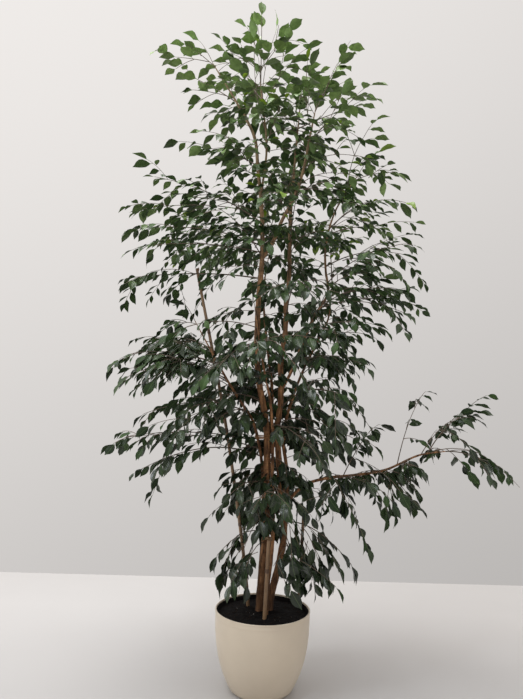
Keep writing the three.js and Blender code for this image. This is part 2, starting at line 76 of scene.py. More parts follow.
# Stems and limbs: radii at the foot and the top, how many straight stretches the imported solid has, and
# the points that the axis passes.
LIMBS = {
    "main": ((0.016, 0.004), 18, ((-0.013, 0.012, 0.12), (-0.013, 0.012, 0.324), (0.004, 0.005, 0.571),
        (0.002, 0, 0.801), (-0.001, 0, 1.03), (-0.046, -0.01, 1.282), (-0.053, -0.01, 1.579),
        (-0.041, -0.008, 1.805), (-0.053, 0, 2.072), (-0.071, 0.01, 2.218), (-0.092, 0.015, 2.384),
        (-0.17, 0.02, 2.54), (-0.3, 0.01, 2.75))),
    "fork": ((0.0085, 0.003), 8, ((-0.042, -0.008, 1.79), (0.003, -0.03, 1.858), (0.043, -0.042, 1.96),
        (0.084, -0.048, 2.04), (0.13, -0.045, 2.18), (0.16, -0.035, 2.35), (0.19, -0.02, 2.52))),
    "leader": ((0.005, 0.003), 5, ((-0.055, 0.002, 2.1), (-0.038, -0.014, 2.23), (-0.035, -0.016, 2.34),
        (-0.062, -0.005, 2.564), (-0.072, 0, 2.66))),
    "right": ((0.015, 0.004), 16, ((0.026, 0.025, 0.12), (0.03, 0.025, 0.32), (0.068, 0.028, 0.489),
        (0.083, 0.03, 0.594), (0.077, 0.028, 0.696), (0.063, 0.025, 0.823), (0.046, 0.022, 1.032),
        (0.057, 0.02, 1.176), (0.054, 0.02, 1.342), (0.07, 0.022, 1.449), (0.073, 0.025, 1.621),
        (0.083, 0.03, 1.713), (0.084, 0.03, 2), (0.095, 0.04, 2.2), (0.12, 0.045, 2.55))),
    "sideLimb": ((0.0065, 0.003), 11, ((0.057, 0.02, 1.2), (0.113, 0.03, 1.316), (0.145, 0.035, 1.407),
        (0.2, 0.04, 1.543), (0.262, 0.045, 1.655), (0.252, 0.05, 1.76), (0.25, 0.05, 1.867),
        (0.287, 0.05, 2.031), (0.355, 0.05, 2.16), (0.4, 0.05, 2.229))),
    "longLimb": ((0.0065, 0.003), 9, ((0.077, 0.028, 0.7), (0.13, 0.02, 0.771), (0.18, 0.015, 0.81),
        (0.273, 0.01, 0.837), (0.367, 0.005, 0.85), (0.508, 0, 0.877), (0.659, 0, 0.944),
        (0.788, 0, 0.964))),
    "left": ((0.0085, 0.003), 14, ((-0.018, 0.048, 0.12), (-0.018, 0.048, 0.33), (-0.008, 0.044, 0.6),
        (-0.014, 0.034, 0.85), (-0.04, 0.015, 1), (-0.07, 0.012, 1.085), (-0.11, 0.008, 1.14),
        (-0.17, 0, 1.23), (-0.26, -0.01, 1.38), (-0.33, 0, 1.5))),
    "side": ((0.009, 0.003), 14, ((0.038, 0.058, 0.12), (0.038, 0.058, 0.33), (0.088, 0.066, 0.6),
        (0.092, 0.058, 0.85), (0.072, 0.042, 1), (0.095, 0.062, 1.12), (0.15, 0.1, 1.28),
        (0.22, 0.14, 1.43), (0.28, 0.17, 1.56), (0.3, 0.185, 1.75))),
    "back": ((0.01, 0.003), 15, ((0.018, 0.078, 0.12), (0.018, 0.078, 0.33), (0.01, 0.08, 0.6),
        (0.006, 0.07, 0.85), (0.014, 0.048, 1), (0.02, 0.09, 1.2), (-0.01, 0.16, 1.45),
        (-0.03, 0.22, 1.7), (0, 0.25, 1.95))),
    "front": ((0.009, 0.003), 12, ((0.014, -0.026, 0.12), (0.014, -0.026, 0.33), (0.034, -0.032, 0.6),
        (0.026, -0.027, 0.85), (0.025, -0.018, 1), (0.01, -0.06, 1.15), (-0.03, -0.12, 1.33),
        (-0.06, -0.17, 1.5))),
}

# The limbs that grow together as one woody stem.
STEMS = {
    "main": ("main", "fork", "leader"),
    "right": ("right", "sideLimb", "longLimb"),
    "left": ("left",),
    "side": ("side",),
    "back": ("back",),
    "front": ("front",),
}
READ_ALONG_X = ("longLimb",)  # places on this limb are distances to the right, and on the others heights

# Leafy branches: the limb it leaves, the place there, how far its middle is lifted, how steeply its
# leaves hang, and where its last leaves end.
BRANCHES = {
    "leader": ("leader", 2.64, 0, 0.1, (-0.075, 0, 3.062), (0.092, -0.06, 2.93), (-0.165, 0.06, 3.03)),
    "top_left": ("main", 2.735, 0.01, 0.15, (-0.48, 0, 2.88), (-0.525, -0.06, 2.736)),
    "top_left_low": ("main", 2.56, 0.015, 0.25, (-0.48, 0.15, 2.81), (-0.445, -0.04, 2.59)),
    "top_right": ("fork", 2.5, 0.02, 0.2, (0.35, 0.04, 2.87), (0.3, 0.19, 2.78)),
    "top_right_low": ("fork", 2.33, 0.03, 0.3, (0.415, -0.06, 2.6), (0.318, -0.26, 2.32)),
    "top_right_back": ("right", 2.45, 0.02, 0.3, (0.48, 0.13, 2.655)),
    "top_front": ("leader", 2.33, 0.04, 0.4, (0.055, -0.32, 2.42), (0.18, -0.2, 2.33)),
    "top_back": ("leader", 2.56, 0.02, 0.2, (-0.188, 0.3, 2.88)),
    "top_back_right": ("right", 2.535, 0.01, 0.2, (0.134, 0.32, 2.92)),
    "upper_left": ("main", 2.24, 0.04, 0.45, (-0.365, 0.2, 2.42), (-0.24, -0.23, 2.29)),
    "mid_left": ("main", 1.96, 0.07, 0.35, (-0.595, -0.05, 2.172), (-0.67, 0.07, 2.04)),
    "mid_left_low": ("main", 1.85, 0.08, 0.5, (-0.64, -0.12, 1.885)),
    "mid_left_back": ("back", 1.85, 0.06, 0.5, (-0.57, 0.3, 1.98), (-0.44, 0.43, 2.13)),
    "mid_left_front": ("main", 1.8, 0.06, 0.5, (-0.245, -0.4, 1.9)),
    "mid_right": ("sideLimb", 2.2, 0.03, 0.3, (0.63, 0, 2.236)),
    "mid_right_front": ("sideLimb", 1.96, 0.06, 0.5, (0.47, -0.33, 1.97)),
    "mid_right_back": ("sideLimb", 1.93, 0.06, 0.45, (0.635, 0.33, 2.07)),
    "mid_right_level": ("sideLimb", 1.78, 0.08, 0.5, (0.675, 0, 1.841), (0.514, -0.33, 1.66)),
    "mid_right_low": ("sideLimb", 1.58, 0.08, 0.6, (0.735, 0.09, 1.625), (0.65, -0.09, 1.53)),
    "mid_front": ("right", 1.88, 0.07, 0.6, (0.095, -0.43, 1.975), (-0.06, -0.32, 2.12)),
    "mid_front_low": ("right", 1.54, 0.09, 0.9, (0.103, -0.48, 1.595)),
    "mid_back": ("back", 1.94, 0.02, 0.4, (-0.068, 0.44, 2.38), (0.15, 0.3, 2.45)),
    "mid_back_right": ("side", 1.74, 0.02, 0.45, (0.31, 0.43, 2.19)),
    "level_left": ("main", 1.7, 0.045, 0.8, (-0.71, -0.02, 1.68)),
    "cluster_right": ("right", 1.38, 0.11, 0.8, (0.4, -0.33, 1.465)),
    "cluster_back": ("side", 1.43, 0.09, 0.8, (0.59, 0.3, 1.5)),
    "mass_left": ("left", 1.23, 0.09, 0.8, (-0.6, -0.03, 1.275), (-0.387, -0.33, 1.385)),
    "mass_left_high": ("left", 1.38, 0.07, 0.7, (-0.61, 0.22, 1.435)),
    "mass_left_low": ("left", 1.11, 0.09, 1, (-0.615, 0.08, 1.085), (-0.375, -0.33, 1)),
    "low_left": ("left", 0.92, 0.13, 1.1, (-0.62, -0.01, 0.83)),
    "front_left": ("front", 1.38, 0.07, 1, (-0.22, -0.46, 1.23), (0.056, -0.5, 1.34)),
    "back_left": ("back", 1.25, 0.08, 1, (-0.385, 0.48, 1.165)),
    "low_right": ("right", 1.12, 0.1, 1.1, (0.31, -0.3, 1.195), (0.36, -0.08, 1.035)),
    "low_right_back": ("side", 1.18, 0.09, 1.1, (0.47, 0.12, 1.16), (0.265, 0.48, 1.3)),
    "limb_near": ("longLimb", 0.33, 0.03, 0.9, (0.47, -0.09, 1.11)),
    "limb_upright": ("longLimb", 0.69, 0.09, 0.5, (0.96, -0.02, 1.18)),
    "limb_end": ("longLimb", 0.77, 0.045, 0.8, (1.08, 0, 0.86)),
    "limb_hanging": ("longLimb", 0.51, 0.07, 1.4, (0.545, -0.08, 0.66), (0.688, 0.09, 0.7)),
    "limb_inner": ("longLimb", 0.27, 0.06, 1.3, (0.33, -0.18, 0.745)),
    "base_left": ("left", 0.8, 0.06, 1.3, (-0.176, -0.28, 0.775)),
    "base_left_low": ("left", 0.6, 0.07, 1.4, (-0.25, -0.04, 0.49)),
    "base_front_left": ("main", 0.56, 0.06, 1.5, (-0.1, -0.19, 0.48)),
    "base_front_right": ("right", 0.6, 0.06, 1.5, (0.124, -0.2, 0.48)),
    "base_front": ("front", 0.8, 0.07, 1.4, (0.07, -0.37, 0.705), (-0.073, -0.38, 0.735)),
    "base_right": ("side", 0.64, 0.09, 1.3, (0.425, 0.01, 0.45), (0.25, -0.09, 0.455)),
    "base_right_back": ("side", 0.76, 0.07, 1.3, (0.245, 0.4, 0.71)),
    "base_back": ("back", 0.8, 0.07, 1.3, (-0.048, 0.42, 0.79), (-0.225, 0.29, 0.61)),
}

# How many of the usual shoots and leaves a branch bears, where it is barer or fuller than most.
FULLNESS = {
    "leader": 0.35, "top_left": 0.2, "top_left_low": 0.3, "top_right": 0.7, "top_right_low": 0.5,
    "top_right_back": 0.5, "top_front": 0.8, "upper_left": 0.85, "mid_left": 0.85, "mid_left_low": 1.0,
    "mid_right_low": 0.65, "mid_right": 0.6, "mid_right_level": 0.7, "mid_right_front": 0.8,
    "mid_right_back": 0.4, "mass_left": 1.75, "mass_left_high": 1.5, "mass_left_low": 0.6,
    "cluster_right": 1.2, "cluster_back": 0.35, "low_left": 0.4, "low_right": 0.95,
    "low_right_back": 0.7, "limb_hanging": 0.25, "limb_inner": 1.5, "limb_near": 1.2,
    "limb_upright": 0.8, "limb_end": 0.6, "base_left": 0.2, "base_left_low": 0.2,
    "base_front_left": 0.5, "base_right": 0.4, "base_right_back": 0.5, "base_back": 0.3,
    "base_front_right": 0.6, "base_front": 0.3,
}

# Smaller leafy boughs between the branches: the limb they leave, the place there, how far the middle is
# lifted, how steeply the leaves hang, and the tip.
BOUGHS = (
    ("leader", 2.62, 0.01, 0.1, (-0.2, -0.06, 2.74)), ("leader", 2.5, 0.02, 0.1, (0.07, -0.08, 2.7)),
    ("fork", 2.4, 0.02, 0.1, (0.14, -0.06, 2.64)), ("leader", 2.5, 0.01, 0.1, (-0.03, -0.08, 2.76)),
    ("leader", 2.4, 0.01, 0.1, (-0.1, -0.12, 2.68)),
    ("fork", 2.12, 0.04, 0.3, (0.3, -0.1, 2.16)), ("right", 2.1, 0.04, 0.3, (0.32, 0.05, 2.2)),
    ("sideLimb", 2.15, 0.03, 0.25, (0.4, -0.1, 2.34)), ("fork", 2.2, 0.05, 0.3, (0.34, -0.15, 2.22)),
    ("main", 2.0, 0.04, 0.4, (-0.3, -0.12, 2.02)), ("main", 1.9, 0.04, 0.5, (-0.15, -0.16, 1.86)),
    ("main", 1.82, 0.05, 0.5, (-0.5, -0.14, 1.8)), ("main", 1.75, 0.04, 0.5, (-0.16, -0.14, 1.7)),
    ("sideLimb", 1.9, 0.04, 0.4, (0.36, -0.12, 2.0)), ("sideLimb", 1.7, 0.05, 0.4, (0.5, -0.2, 1.8)),
    ("sideLimb", 1.6, 0.05, 0.5, (0.34, -0.1, 1.7)), ("sideLimb", 1.56, 0.05, 0.5, (0.42, -0.08, 1.65)),
    ("sideLimb", 1.5, 0.05, 0.6, (0.3, -0.16, 1.62)), ("sideLimb", 1.45, 0.05, 0.6, (0.36, 0.06, 1.6)),
    ("right", 1.62, 0.05, 0.6, (0.2, -0.16, 1.66)), ("left", 1.3, 0.06, 0.7, (-0.54, -0.12, 1.34)),
    ("left", 1.25, 0.06, 0.8, (-0.5, -0.2, 1.26)), ("left", 1.36, 0.05, 0.7, (-0.48, 0.1, 1.42)),
    ("left", 1.28, 0.05, 0.8, (-0.4, -0.24, 1.3)), ("left", 1.24, 0.05, 0.8, (-0.42, -0.05, 1.31)),
    ("left", 1.2, 0.05, 0.8, (-0.37, 0.08, 1.27)), ("left", 1.26, 0.04, 0.8, (-0.33, -0.12, 1.3)),
    ("left", 1.1, 0.05, 0.9, (-0.28, -0.16, 1.13)), ("left", 0.98, 0.05, 0.9, (-0.54, -0.1, 1.0)),
    ("left", 0.95, 0.06, 0.9, (-0.58, 0.02, 0.99)), ("left", 1.3, 0.05, 0.8, (-0.44, 0.04, 1.34)),
    ("main", 1.15, 0.05, 0.9, (-0.2, -0.2, 1.16)), ("main", 1.08, 0.05, 0.9, (-0.17, -0.12, 1.1)),
    ("front", 1.45, 0.05, 0.7, (-0.3, -0.34, 1.42)), ("side", 1.34, 0.06, 0.9, (0.3, 0.02, 1.33)),
    ("side", 0.98, 0.08, 1.1, (0.27, 0.04, 0.99)), ("front", 1.05, 0.06, 1.1, (0.16, -0.3, 0.98)),
    ("right", 1.06, 0.05, 1.0, (0.24, -0.12, 1.06)), ("longLimb", 0.3, 0.03, 1.1, (0.44, -0.1, 0.82)),
    ("longLimb", 0.38, 0.03, 1.0, (0.46, -0.02, 0.8)),
    ("longLimb", 0.48, 0.03, 1.0, (0.57, -0.03, 0.86)),
    ("side", 1.0, 0.06, 1.0, (0.34, -0.02, 1.02)), ("right", 0.98, 0.05, 1.0, (0.18, -0.15, 1.0)),
    ("side", 1.3, 0.05, 0.8, (0.26, -0.06, 1.34)), ("fork", 2.3, 0.03, 0.2, (0.05, -0.1, 2.42)),
    ("right", 1.8, 0.04, 0.4, (0.16, -0.16, 1.86)), ("fork", 2.05, 0.03, 0.3, (0.22, -0.1, 2.1)),
    ("side", 1.28, 0.05, 0.8, (0.34, -0.04, 1.34)), ("sideLimb", 1.6, 0.04, 0.5, (0.52, 0.02, 1.68)),
    ("longLimb", 0.44, 0.05, 0.9, (0.52, -0.06, 0.84)),
    ("longLimb", 0.56, 0.05, 0.6, (0.64, -0.03, 1.16)), ("longLimb", 0.66, 0.05, 0.6, (0.8, -0.03, 1.1)),
    ("longLimb", 0.7, 0.03, 0.9, (0.86, -0.05, 0.97)),
    ("left", 0.7, 0.03, 1.4, (-0.13, 0.03, 0.55)), ("left", 0.6, 0.03, 1.4, (-0.08, 0.03, 0.46)),
    ("main", 0.68, 0.02, 1.4, (-0.08, -0.05, 0.56)), ("main", 0.62, 0.02, 1.4, (-0.06, -0.04, 0.52)),
    ("right", 0.7, 0.03, 1.4, (0.19, 0.0, 0.54)), ("right", 0.62, 0.03, 1.4, (0.13, -0.03, 0.48)),
    ("front", 0.76, 0.03, 1.4, (0.11, -0.1, 0.64)),
)

# Canes: the two radii, how many knots, and the points that the axis passes.
CANES = {
    "cane_left": ((0.0075, 0.0065), 8, ((-0.061, 0.069, 0.11), (-0.061, 0.069, 0.286),
        (-0.172, 0.048, 1), (-0.337, 0.032, 1.75))),
    "cane_front": ((0.008, 0.0075), 2, ((0.004, -0.081, 0.11), (0.007, -0.078, 0.286),
        (0.018, -0.06, 0.601))),
    "cane_right": ((0.007, 0.0065), 2, ((0.145, 0.08, 0.2), (0.153, 0.084, 0.286),
        (0.172, 0.096, 0.69))),
}


class PotSettings(bpy.types.PropertyGroup):
    """Sizes and colours of the planter."""

    height: bpy.props.FloatProperty(
        name="Height", description="From the floor to the rim", default=POT_BOX[1].z, unit="LENGTH")
    rim_radius: bpy.props.FloatProperty(
        name="Rim radius", description="Outside, under the lip", default=POT_BOX[1].x - LIP_OUT,
        unit="LENGTH")
    base_radius: bpy.props.FloatProperty(
        name="Base radius", description="Where the side starts", default=0.124, unit="LENGTH")
    wall: bpy.props.FloatProperty(name="Wall", description="Thickness", default=0.0045, unit="LENGTH")
    bulge: bpy.props.FloatProperty(name="Bulge", description="How full the side is", default=2.7)
    sides: bpy.props.IntProperty(name="Sides", description="Round the planter", default=128)
    colour: bpy.props.FloatVectorProperty(
        name="Colour", description="Of the plastic", subtype="COLOR", default=(0.59, 0.508, 0.4))
    # The inside colour is painted shade: near black on the cream wall over the soil, where shade falls.
    inside: bpy.props.FloatVectorProperty(
        name="Inside", description="Of the wall over the soil", subtype="COLOR",
        default=(0.009, 0.007, 0.0065))


class SoilSettings(bpy.types.PropertyGroup):
    """Sizes and colours of the potting soil."""

    edge: bpy.props.FloatProperty(
        name="Edge", description="Height at the wall", default=0.284, unit="LENGTH")
    middle: bpy.props.FloatProperty(
        name="Middle", description="Height in the middle", default=0.291, unit="LENGTH")
    crumbs: bpy.props.IntProperty(name="Crumbs", description="Lumps lying on top", default=900)
    colour: bpy.props.FloatVectorProperty(
        name="Colour", description="Of damp soil", subtype="COLOR", default=(0.006, 0.005, 0.005))
    crumb: bpy.props.FloatVectorProperty(
        name="Crumb", description="Of dry bark bits", subtype="COLOR", default=(0.018, 0.012, 0.009))
    speck: bpy.props.FloatVectorProperty(
        name="Speck", description="Of perlite", subtype="COLOR", default=(0.5, 0.48, 0.44))


class WoodSettings(bpy.types.PropertyGroup):
    """Colours of the stems, twigs, canes and tie."""

    bark: bpy.props.FloatVectorProperty(
        name="Bark", description="Of old stems", subtype="COLOR", default=(0.25, 0.122, 0.054))
    # The cracks colour also paints the shade on the stems near the soil.
    bark_dark: bpy.props.FloatVectorProperty(
        name="Bark cracks", description="Of cracks and scars", subtype="COLOR",
        default=(0.04, 0.018, 0.01))
    young: bpy.props.FloatVectorProperty(
        name="Young bark", description="Of the limbs high up", subtype="COLOR",
        default=(0.27, 0.2, 0.115))
    twig: bpy.props.FloatVectorProperty(
        name="Twig", description="Of young wood", subtype="COLOR", default=(0.13, 0.095, 0.068))
    cane: bpy.props.FloatVectorProperty(
        name="Cane", description="Of dry bamboo", subtype="COLOR", default=(0.24, 0.145, 0.075))
    cane_knot: bpy.props.FloatVectorProperty(
        name="Knot", description="Of the cane's knots", subtype="COLOR", default=(0.11, 0.06, 0.034))
    tie: bpy.props.FloatVectorProperty(
        name="Tie", description="Of the raffia", subtype="COLOR", default=(0.36, 0.18, 0.08))


class LeafSettings(bpy.types.PropertyGroup):
    """Sizes and colours of the leaves."""

    shortest: bpy.props.FloatProperty(
        name="Shortest", description="With its stalk", default=0.044, unit="LENGTH")
    longest: bpy.props.FloatProperty(
        name="Longest", description="With its stalk", default=0.094, unit="LENGTH")
    spacing: bpy.props.FloatProperty(
        name="Spacing", description="From leaf to leaf along a twig", default=0.026, unit="LENGTH")
    top_spacing: bpy.props.FloatProperty(
        name="Spacing at the top", description="From leaf to leaf there", default=0.042, unit="LENGTH")
    shoot_spacing: bpy.props.FloatProperty(
        name="Shoot spacing", description="From shoot to shoot along a twig", default=0.085,
        unit="LENGTH")
    # Partly the leaves' age, partly painted shade low in the crown and painted light at its top.
    dark: bpy.props.FloatVectorProperty(
        name="Dark", description="Of the oldest leaves", subtype="COLOR",
        default=(0.0058, 0.011, 0.0058))
    middle: bpy.props.FloatVectorProperty(
        name="Middle", description="Of grown leaves", subtype="COLOR", default=(0.031, 0.059, 0.017))
    light: bpy.props.FloatVectorProperty(
        name="Light", description="Of the top leaves", subtype="COLOR", default=(0.175, 0.255, 0.093))
    young: bpy.props.FloatVectorProperty(
        name="Young", description="Of leaves just opened", subtype="COLOR", default=(0.22, 0.34, 0.025))


class StageSettings(bpy.types.PropertyGroup):
    """The plain surroundings."""

    floor: bpy.props.FloatVectorProperty(
        name="Floor", description="Its colour", subtype="COLOR", default=(0.565, 0.547, 0.535))
    backdrop: bpy.props.FloatVectorProperty(
        name="Backdrop", description="Its colour at eye height", subtype="COLOR",
        default=(0.63, 0.607, 0.59))
    key_power: bpy.props.FloatProperty(
        name="Light above", description="Its power", default=150.0, unit="POWER")
    fill_power: bpy.props.FloatProperty(
        name="Light at the left", description="Its power", default=50.0, unit="POWER")
    glint_power: bpy.props.FloatProperty(
        name="Light in front", description="Its power", default=22.0, unit="POWER")


SETTINGS = {
    "fig_pot": PotSettings,
    "fig_soil": SoilSettings,
    "fig_wood": WoodSettings,
    "fig_leaf": LeafSettings,
    "fig_stage": StageSettings,
}


# Routes

DIVISIONS = 200
BEND_AT = 0.45  # the share of a twig's length at which it is lifted and pushed aside
SCATTER = (12.9898, 78.233, 37.719, 4.581)
SCATTER_SCALE = 43758.5453


class Route:
    """A smooth line, read by shares of its length."""

    def __init__(self, points):
        self.points = np.array([tuple(point) for point in points])
        steps = np.linalg.norm(np.diff(self.points, axis=0), axis=1)
        self.reached = np.concatenate([[0], np.cumsum(steps)])
        self.length = float(self.reached[-1])

    def at(self, share):
        place = share * self.length
        return Vector([np.interp(place, self.reached, self.points[:, axis]) for axis in range(3)])

    def heading(self, share, step=0.004):
        return (self.at(min(1, share + step)) - self.at(max(0, share - step))).normalized()

    def on_stretch(self, share, stretches):
        """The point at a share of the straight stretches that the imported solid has."""
        part = min(int(share * stretches), stretches - 1)
        start, end = self.at(part / stretches), self.at((part + 1) / stretches)
        return start.lerp(end, share * stretches - part)

    def whence(self, axis, value, stretches):
        """The share at which the stretches first reach a value of x or z, and the point there."""
        corners = [self.at(part / stretches) for part in range(stretches + 1)]
        for part, (start, end) in enumerate(zip(corners, corners[1:])):
            if end[axis] >= value:
                within = (value - start[axis]) / (end[axis] - start[axis])
                return (part + within) / stretches, start.lerp(end, within)
        return 1.0, corners[-1]


def between(knots, share):
    """The point at a share of the way from the second of four knots to the third, on a smooth curve."""
    before, start, end, after = knots
    gaps = [(b - a).length ** 0.5 for a, b in zip(knots, knots[1:])]
    leave = (start - before) / gaps[0] - (end - before) / (gaps[0] + gaps[1]) + (end - start) / gaps[1]
    arrive = (end - start) / gaps[1] - (after - start) / (gaps[1] + gaps[2]) + (after - end) / gaps[2]
    leave, arrive = leave * gaps[1], arrive * gaps[1]
    square = 3 * (end - start) - 2 * leave - arrive
    cube = 2 * (start - end) + leave + arrive
    return start + share * leave + share**2 * square + share**3 * cube


def through(points):
    """The smooth route through some points."""
    knots = [Vector(point) for point in points]
    knots = [2 * knots[0] - knots[1], *knots, 2 * knots[-1] - knots[-2]]
    samples = []
    for i in range(DIVISIONS + 1):
        place = i / DIVISIONS * (len(points) - 1)
        part = min(int(place), len(points) - 2)
        samples.append(between(knots[part:part + 4], place - part))
    return Route(samples)


def bent(foot, tip, arch, sway=0.0, divisions=DIVISIONS):
    """The route of a twig whose middle is lifted by its arch and pushed aside by its sway."""
    aside = (tip - foot).cross(UP).normalized()
    bend = foot.lerp(tip, BEND_AT) + arch * UP + sway * aside
    share = np.linspace(0, 1, divisions + 1)[:, None]
    foot, bend, tip = np.array(foot), np.array(bend), np.array(tip)
    return Route((1 - share) ** 2 * foot + 2 * share * (1 - share) * bend + share**2 * tip)


def chance(*keys):
    """A repeatable number from 0 to 1 for any keys."""
    wave = math.sin(sum(key * weight for key, weight in zip(keys, SCATTER))) * SCATTER_SCALE
    return wave - math.floor(wave)


def clamp(value, low, high):
    return max(low, min(high, value))


def blend(low, high, share):
    return low + (high - low) * share


LIMB_ROUTES = {limb: through(points) for limb, (_, _, points) in LIMBS.items()}


# Modelling by hand

def deselect():
    """Leaves edit mode and lets go of everything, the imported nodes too."""
    if bpy.context.object and bpy.context.object.mode != "OBJECT":
        bpy.ops.object.mode_set(mode="OBJECT")
    bpy.ops.object.select_all(action="DESELECT")
    bpy.context.tool_settings.mesh_select_mode = (True, False, False)


def choose(*objects):
    """Selects some objects and no others, and makes the first one active."""
    deselect()
    for piece in objects:
        piece.select_set(True)
    bpy.context.view_layer.objects.active = objects[0]


def face_out(piece):
    """Turns all the faces of a closed piece outwards."""
    choose(piece)
    bpy.ops.object.mode_set(mode="EDIT")
    bpy.ops.mesh.select_all(action="SELECT")
    bpy.ops.mesh.normals_make_consistent(inside=False)
    bpy.ops.object.mode_set(mode="OBJECT")


def smooth(piece, degrees):
    """Shades a piece smooth, but for the edges that turn by more than some degrees."""
    choose(piece)
    bpy.ops.object.shade_smooth_by_angle(angle=math.radians(degrees))


def turned(name, profile, sides):
    """Draws a ring through a profile of (radius, height) pairs and closes both its ends."""
    deselect()
    bpy.ops.mesh.primitive_circle_add(vertices=sides, radius=profile[0][0], enter_editmode=True)
    bpy.ops.transform.translate(value=(0, 0, profile[0][1]))
    bpy.ops.mesh.edge_face_add()
    for (radius, height), (next_radius, next_height) in zip(profile, profile[1:]):
        bpy.ops.mesh.extrude_edges_move(TRANSFORM_OT_translate={"value": (0, 0, next_height - height)})
        growth = next_radius / radius
        bpy.ops.transform.resize(value=(growth, growth, 1), center_override=(0, 0, next_height))
    bpy.ops.mesh.edge_face_add()
    bpy.ops.object.mode_set(mode="OBJECT")
    piece = bpy.context.object
    piece.name = name
    face_out(piece)
    return piece


def placed(name, data):
    """A new object at the origin that shows a mesh, curve, light or camera."""
    piece = bpy.data.objects.new(name, data)
    bpy.context.collection.objects.link(piece)
    return piece


def tubes(name, routes, roundness, materials):
    """Round tubes in one mesh. Each route is its points, its radii there and its material's index."""
    curve = bpy.data.curves.new(name, "CURVE")
    curve.dimensions = "3D"
    curve.bevel_depth = 1.0
    curve.bevel_resolution = roundness
    curve.use_fill_caps = True
    for points, radii, index in routes:
        spline = curve.splines.new("POLY")
        spline.points.add(len(points) - 1)
        for knot, point, radius in zip(spline.points, points, radii):
            knot.co = (*point, 1)
            knot.radius = radius
        spline.material_index = index
    for material in materials:
        curve.materials.append(material)
    piece = placed(name, curve)
    choose(piece)
    bpy.ops.object.convert(target="MESH")
    smooth(piece, degrees=80)
    return piece


def joined(name, *objects):
    """The first of some objects, with the others joined to it."""
    choose(*objects)
    bpy.ops.object.join()
    objects[0].name = name
    return objects[0]


def hand_over(piece, slot, *nodes):
    """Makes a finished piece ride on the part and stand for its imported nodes."""
    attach(piece, "root")
    if nodes:
        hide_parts(*nodes)


# Materials

class Look:
    """A material, with short ways to add the nodes that feed its Principled shader."""

    def __init__(self, name, **sockets):
        self.material = bpy.data.materials.new(name)
        self.material.use_nodes = True
        self.tree = self.material.node_tree
        self.shader = self.tree.nodes["Principled BSDF"]
        self.place = self.add("ShaderNodeTexCoord").outputs["Object"]
        for socket, value in sockets.items():
            self.shader.inputs[socket.replace("_", " ")].default_value = value

    def add(self, kind, settings=None, **inputs):
        node = self.tree.nodes.new(kind)
        for setting, value in (settings or {}).items():
            setattr(node, setting, value)
        for socket, value in inputs.items():
            self.feed(value, node.inputs[socket.replace("_", " ")])
        return node

    def feed(self, value, socket):
        if isinstance(value, bpy.types.NodeSocket):
            self.tree.links.new(value, socket)
        else:
            socket.default_value = value

    def stretched(self, across, along):
        """Object coordinates that pack a pattern more tightly across the Z axis or along it."""
        scaled = self.add("ShaderNodeMapping", Vector=self.place, Scale=(across, across, along))
        return scaled.outputs["Vector"]

    def speckle(self, scale, detail=4.0, place=None, roughness=0.55):
        node = self.add("ShaderNodeTexNoise", Vector=place or self.place, Scale=scale)
        self.feed(detail, node.inputs["Detail"])
        self.feed(roughness, node.inputs["Roughness"])
        return node.outputs["Fac"]

    def ramp(self, factor, *stops):
        """A colour or grey for each range of a factor; a stop is a place and its colour."""
        node = self.add("ShaderNodeValToRGB", Fac=factor)
        stretch = node.color_ramp
        while len(stretch.elements) < len(stops):
            stretch.elements.new(1.0)
        for element, (place, colour) in zip(stretch.elements, stops):
            element.position = place
            element.color = (*colour, 1) if isinstance(colour, tuple) else (colour, colour, colour, 1)
        return node.outputs["Color"]

    def shades(self, factor, colour, *stops):
        """Shades of one colour for each range of a factor; a stop is a place and its brightness."""
        return self.ramp(factor, *((place, shade(colour, bright)) for place, bright in stops))

    def mixed(self, share, first, second):
        node = self.add("ShaderNodeMix", {"data_type": "RGBA"})
        for value, socket in ((share, 0), (first, 6), (second, 7)):
            self.feed((*value, 1) if isinstance(value, tuple) else value, node.inputs[socket])
        return node.outputs[2]

    def maths(self, operation, first, second=0.0):
        node = self.add("ShaderNodeMath", {"operation": operation})
        self.feed(first, node.inputs[0])
        self.feed(second, node.inputs[1])
        return node.outputs[0]

    def raised(self, height, strength, distance):
        bump = self.add("ShaderNodeBump", Height=height, Strength=strength, Distance=distance)
        self.feed(bump.outputs["Normal"], self.shader.inputs["Normal"])

    def coloured(self, colour):
        self.feed(colour, self.shader.inputs["Base Color"])

    def rough(self, roughness):
        self.feed(roughness, self.shader.inputs["Roughness"])

    def glossy(self, level):
        self.feed(level, self.shader.inputs["Specular IOR Level"])

    def worn(self, pattern, low, high):
        """Roughness that goes from one value in the hollows of a pattern to another on its heights."""
        self.rough(self.ramp(pattern, (0.3, low), (0.7, high)))


def shade(colour, factor):
    """A colour made darker or lighter by a factor."""
    return tuple(channel * factor for channel in colour)


def planter_plastic(colour):
    look = Look("satin planter plastic", Specular_IOR_Level=0.45)
    cloud = look.speckle(scale=6.0, detail=3.0)
    look.coloured(look.shades(cloud, colour, (0.3, 0.95), (0.7, 1.03)))
    look.worn(look.speckle(scale=40.0, detail=5.0), low=0.34, high=0.46)
    look.raised(look.speckle(scale=900.0, detail=2.0), strength=0.12, distance=0.0004)
    return look.material


# Painted shade on the planter's inside wall over the soil, a near-black colour faintly mottled.
def planter_inside_shade(colour):
    look = Look("planter inside with painted shade", Specular_IOR_Level=0.15)
    cloud = look.speckle(scale=60.0, detail=5.0)
    look.coloured(look.shades(cloud, colour, (0.35, 0.6), (0.65, 1.5)))
    look.worn(cloud, low=0.6, high=0.85)
    return look.material


def damp_soil(colour):
    look = Look("damp potting soil", Specular_IOR_Level=0.08)
    clods = look.speckle(scale=140.0, detail=8.0, roughness=0.7)
    look.coloured(look.shades(clods, colour, (0.3, 0.45), (0.55, 1), (0.75, 2.4)))
    look.worn(clods, low=0.75, high=0.98)
    look.raised(clods, strength=0.8, distance=0.003)
    return look.material


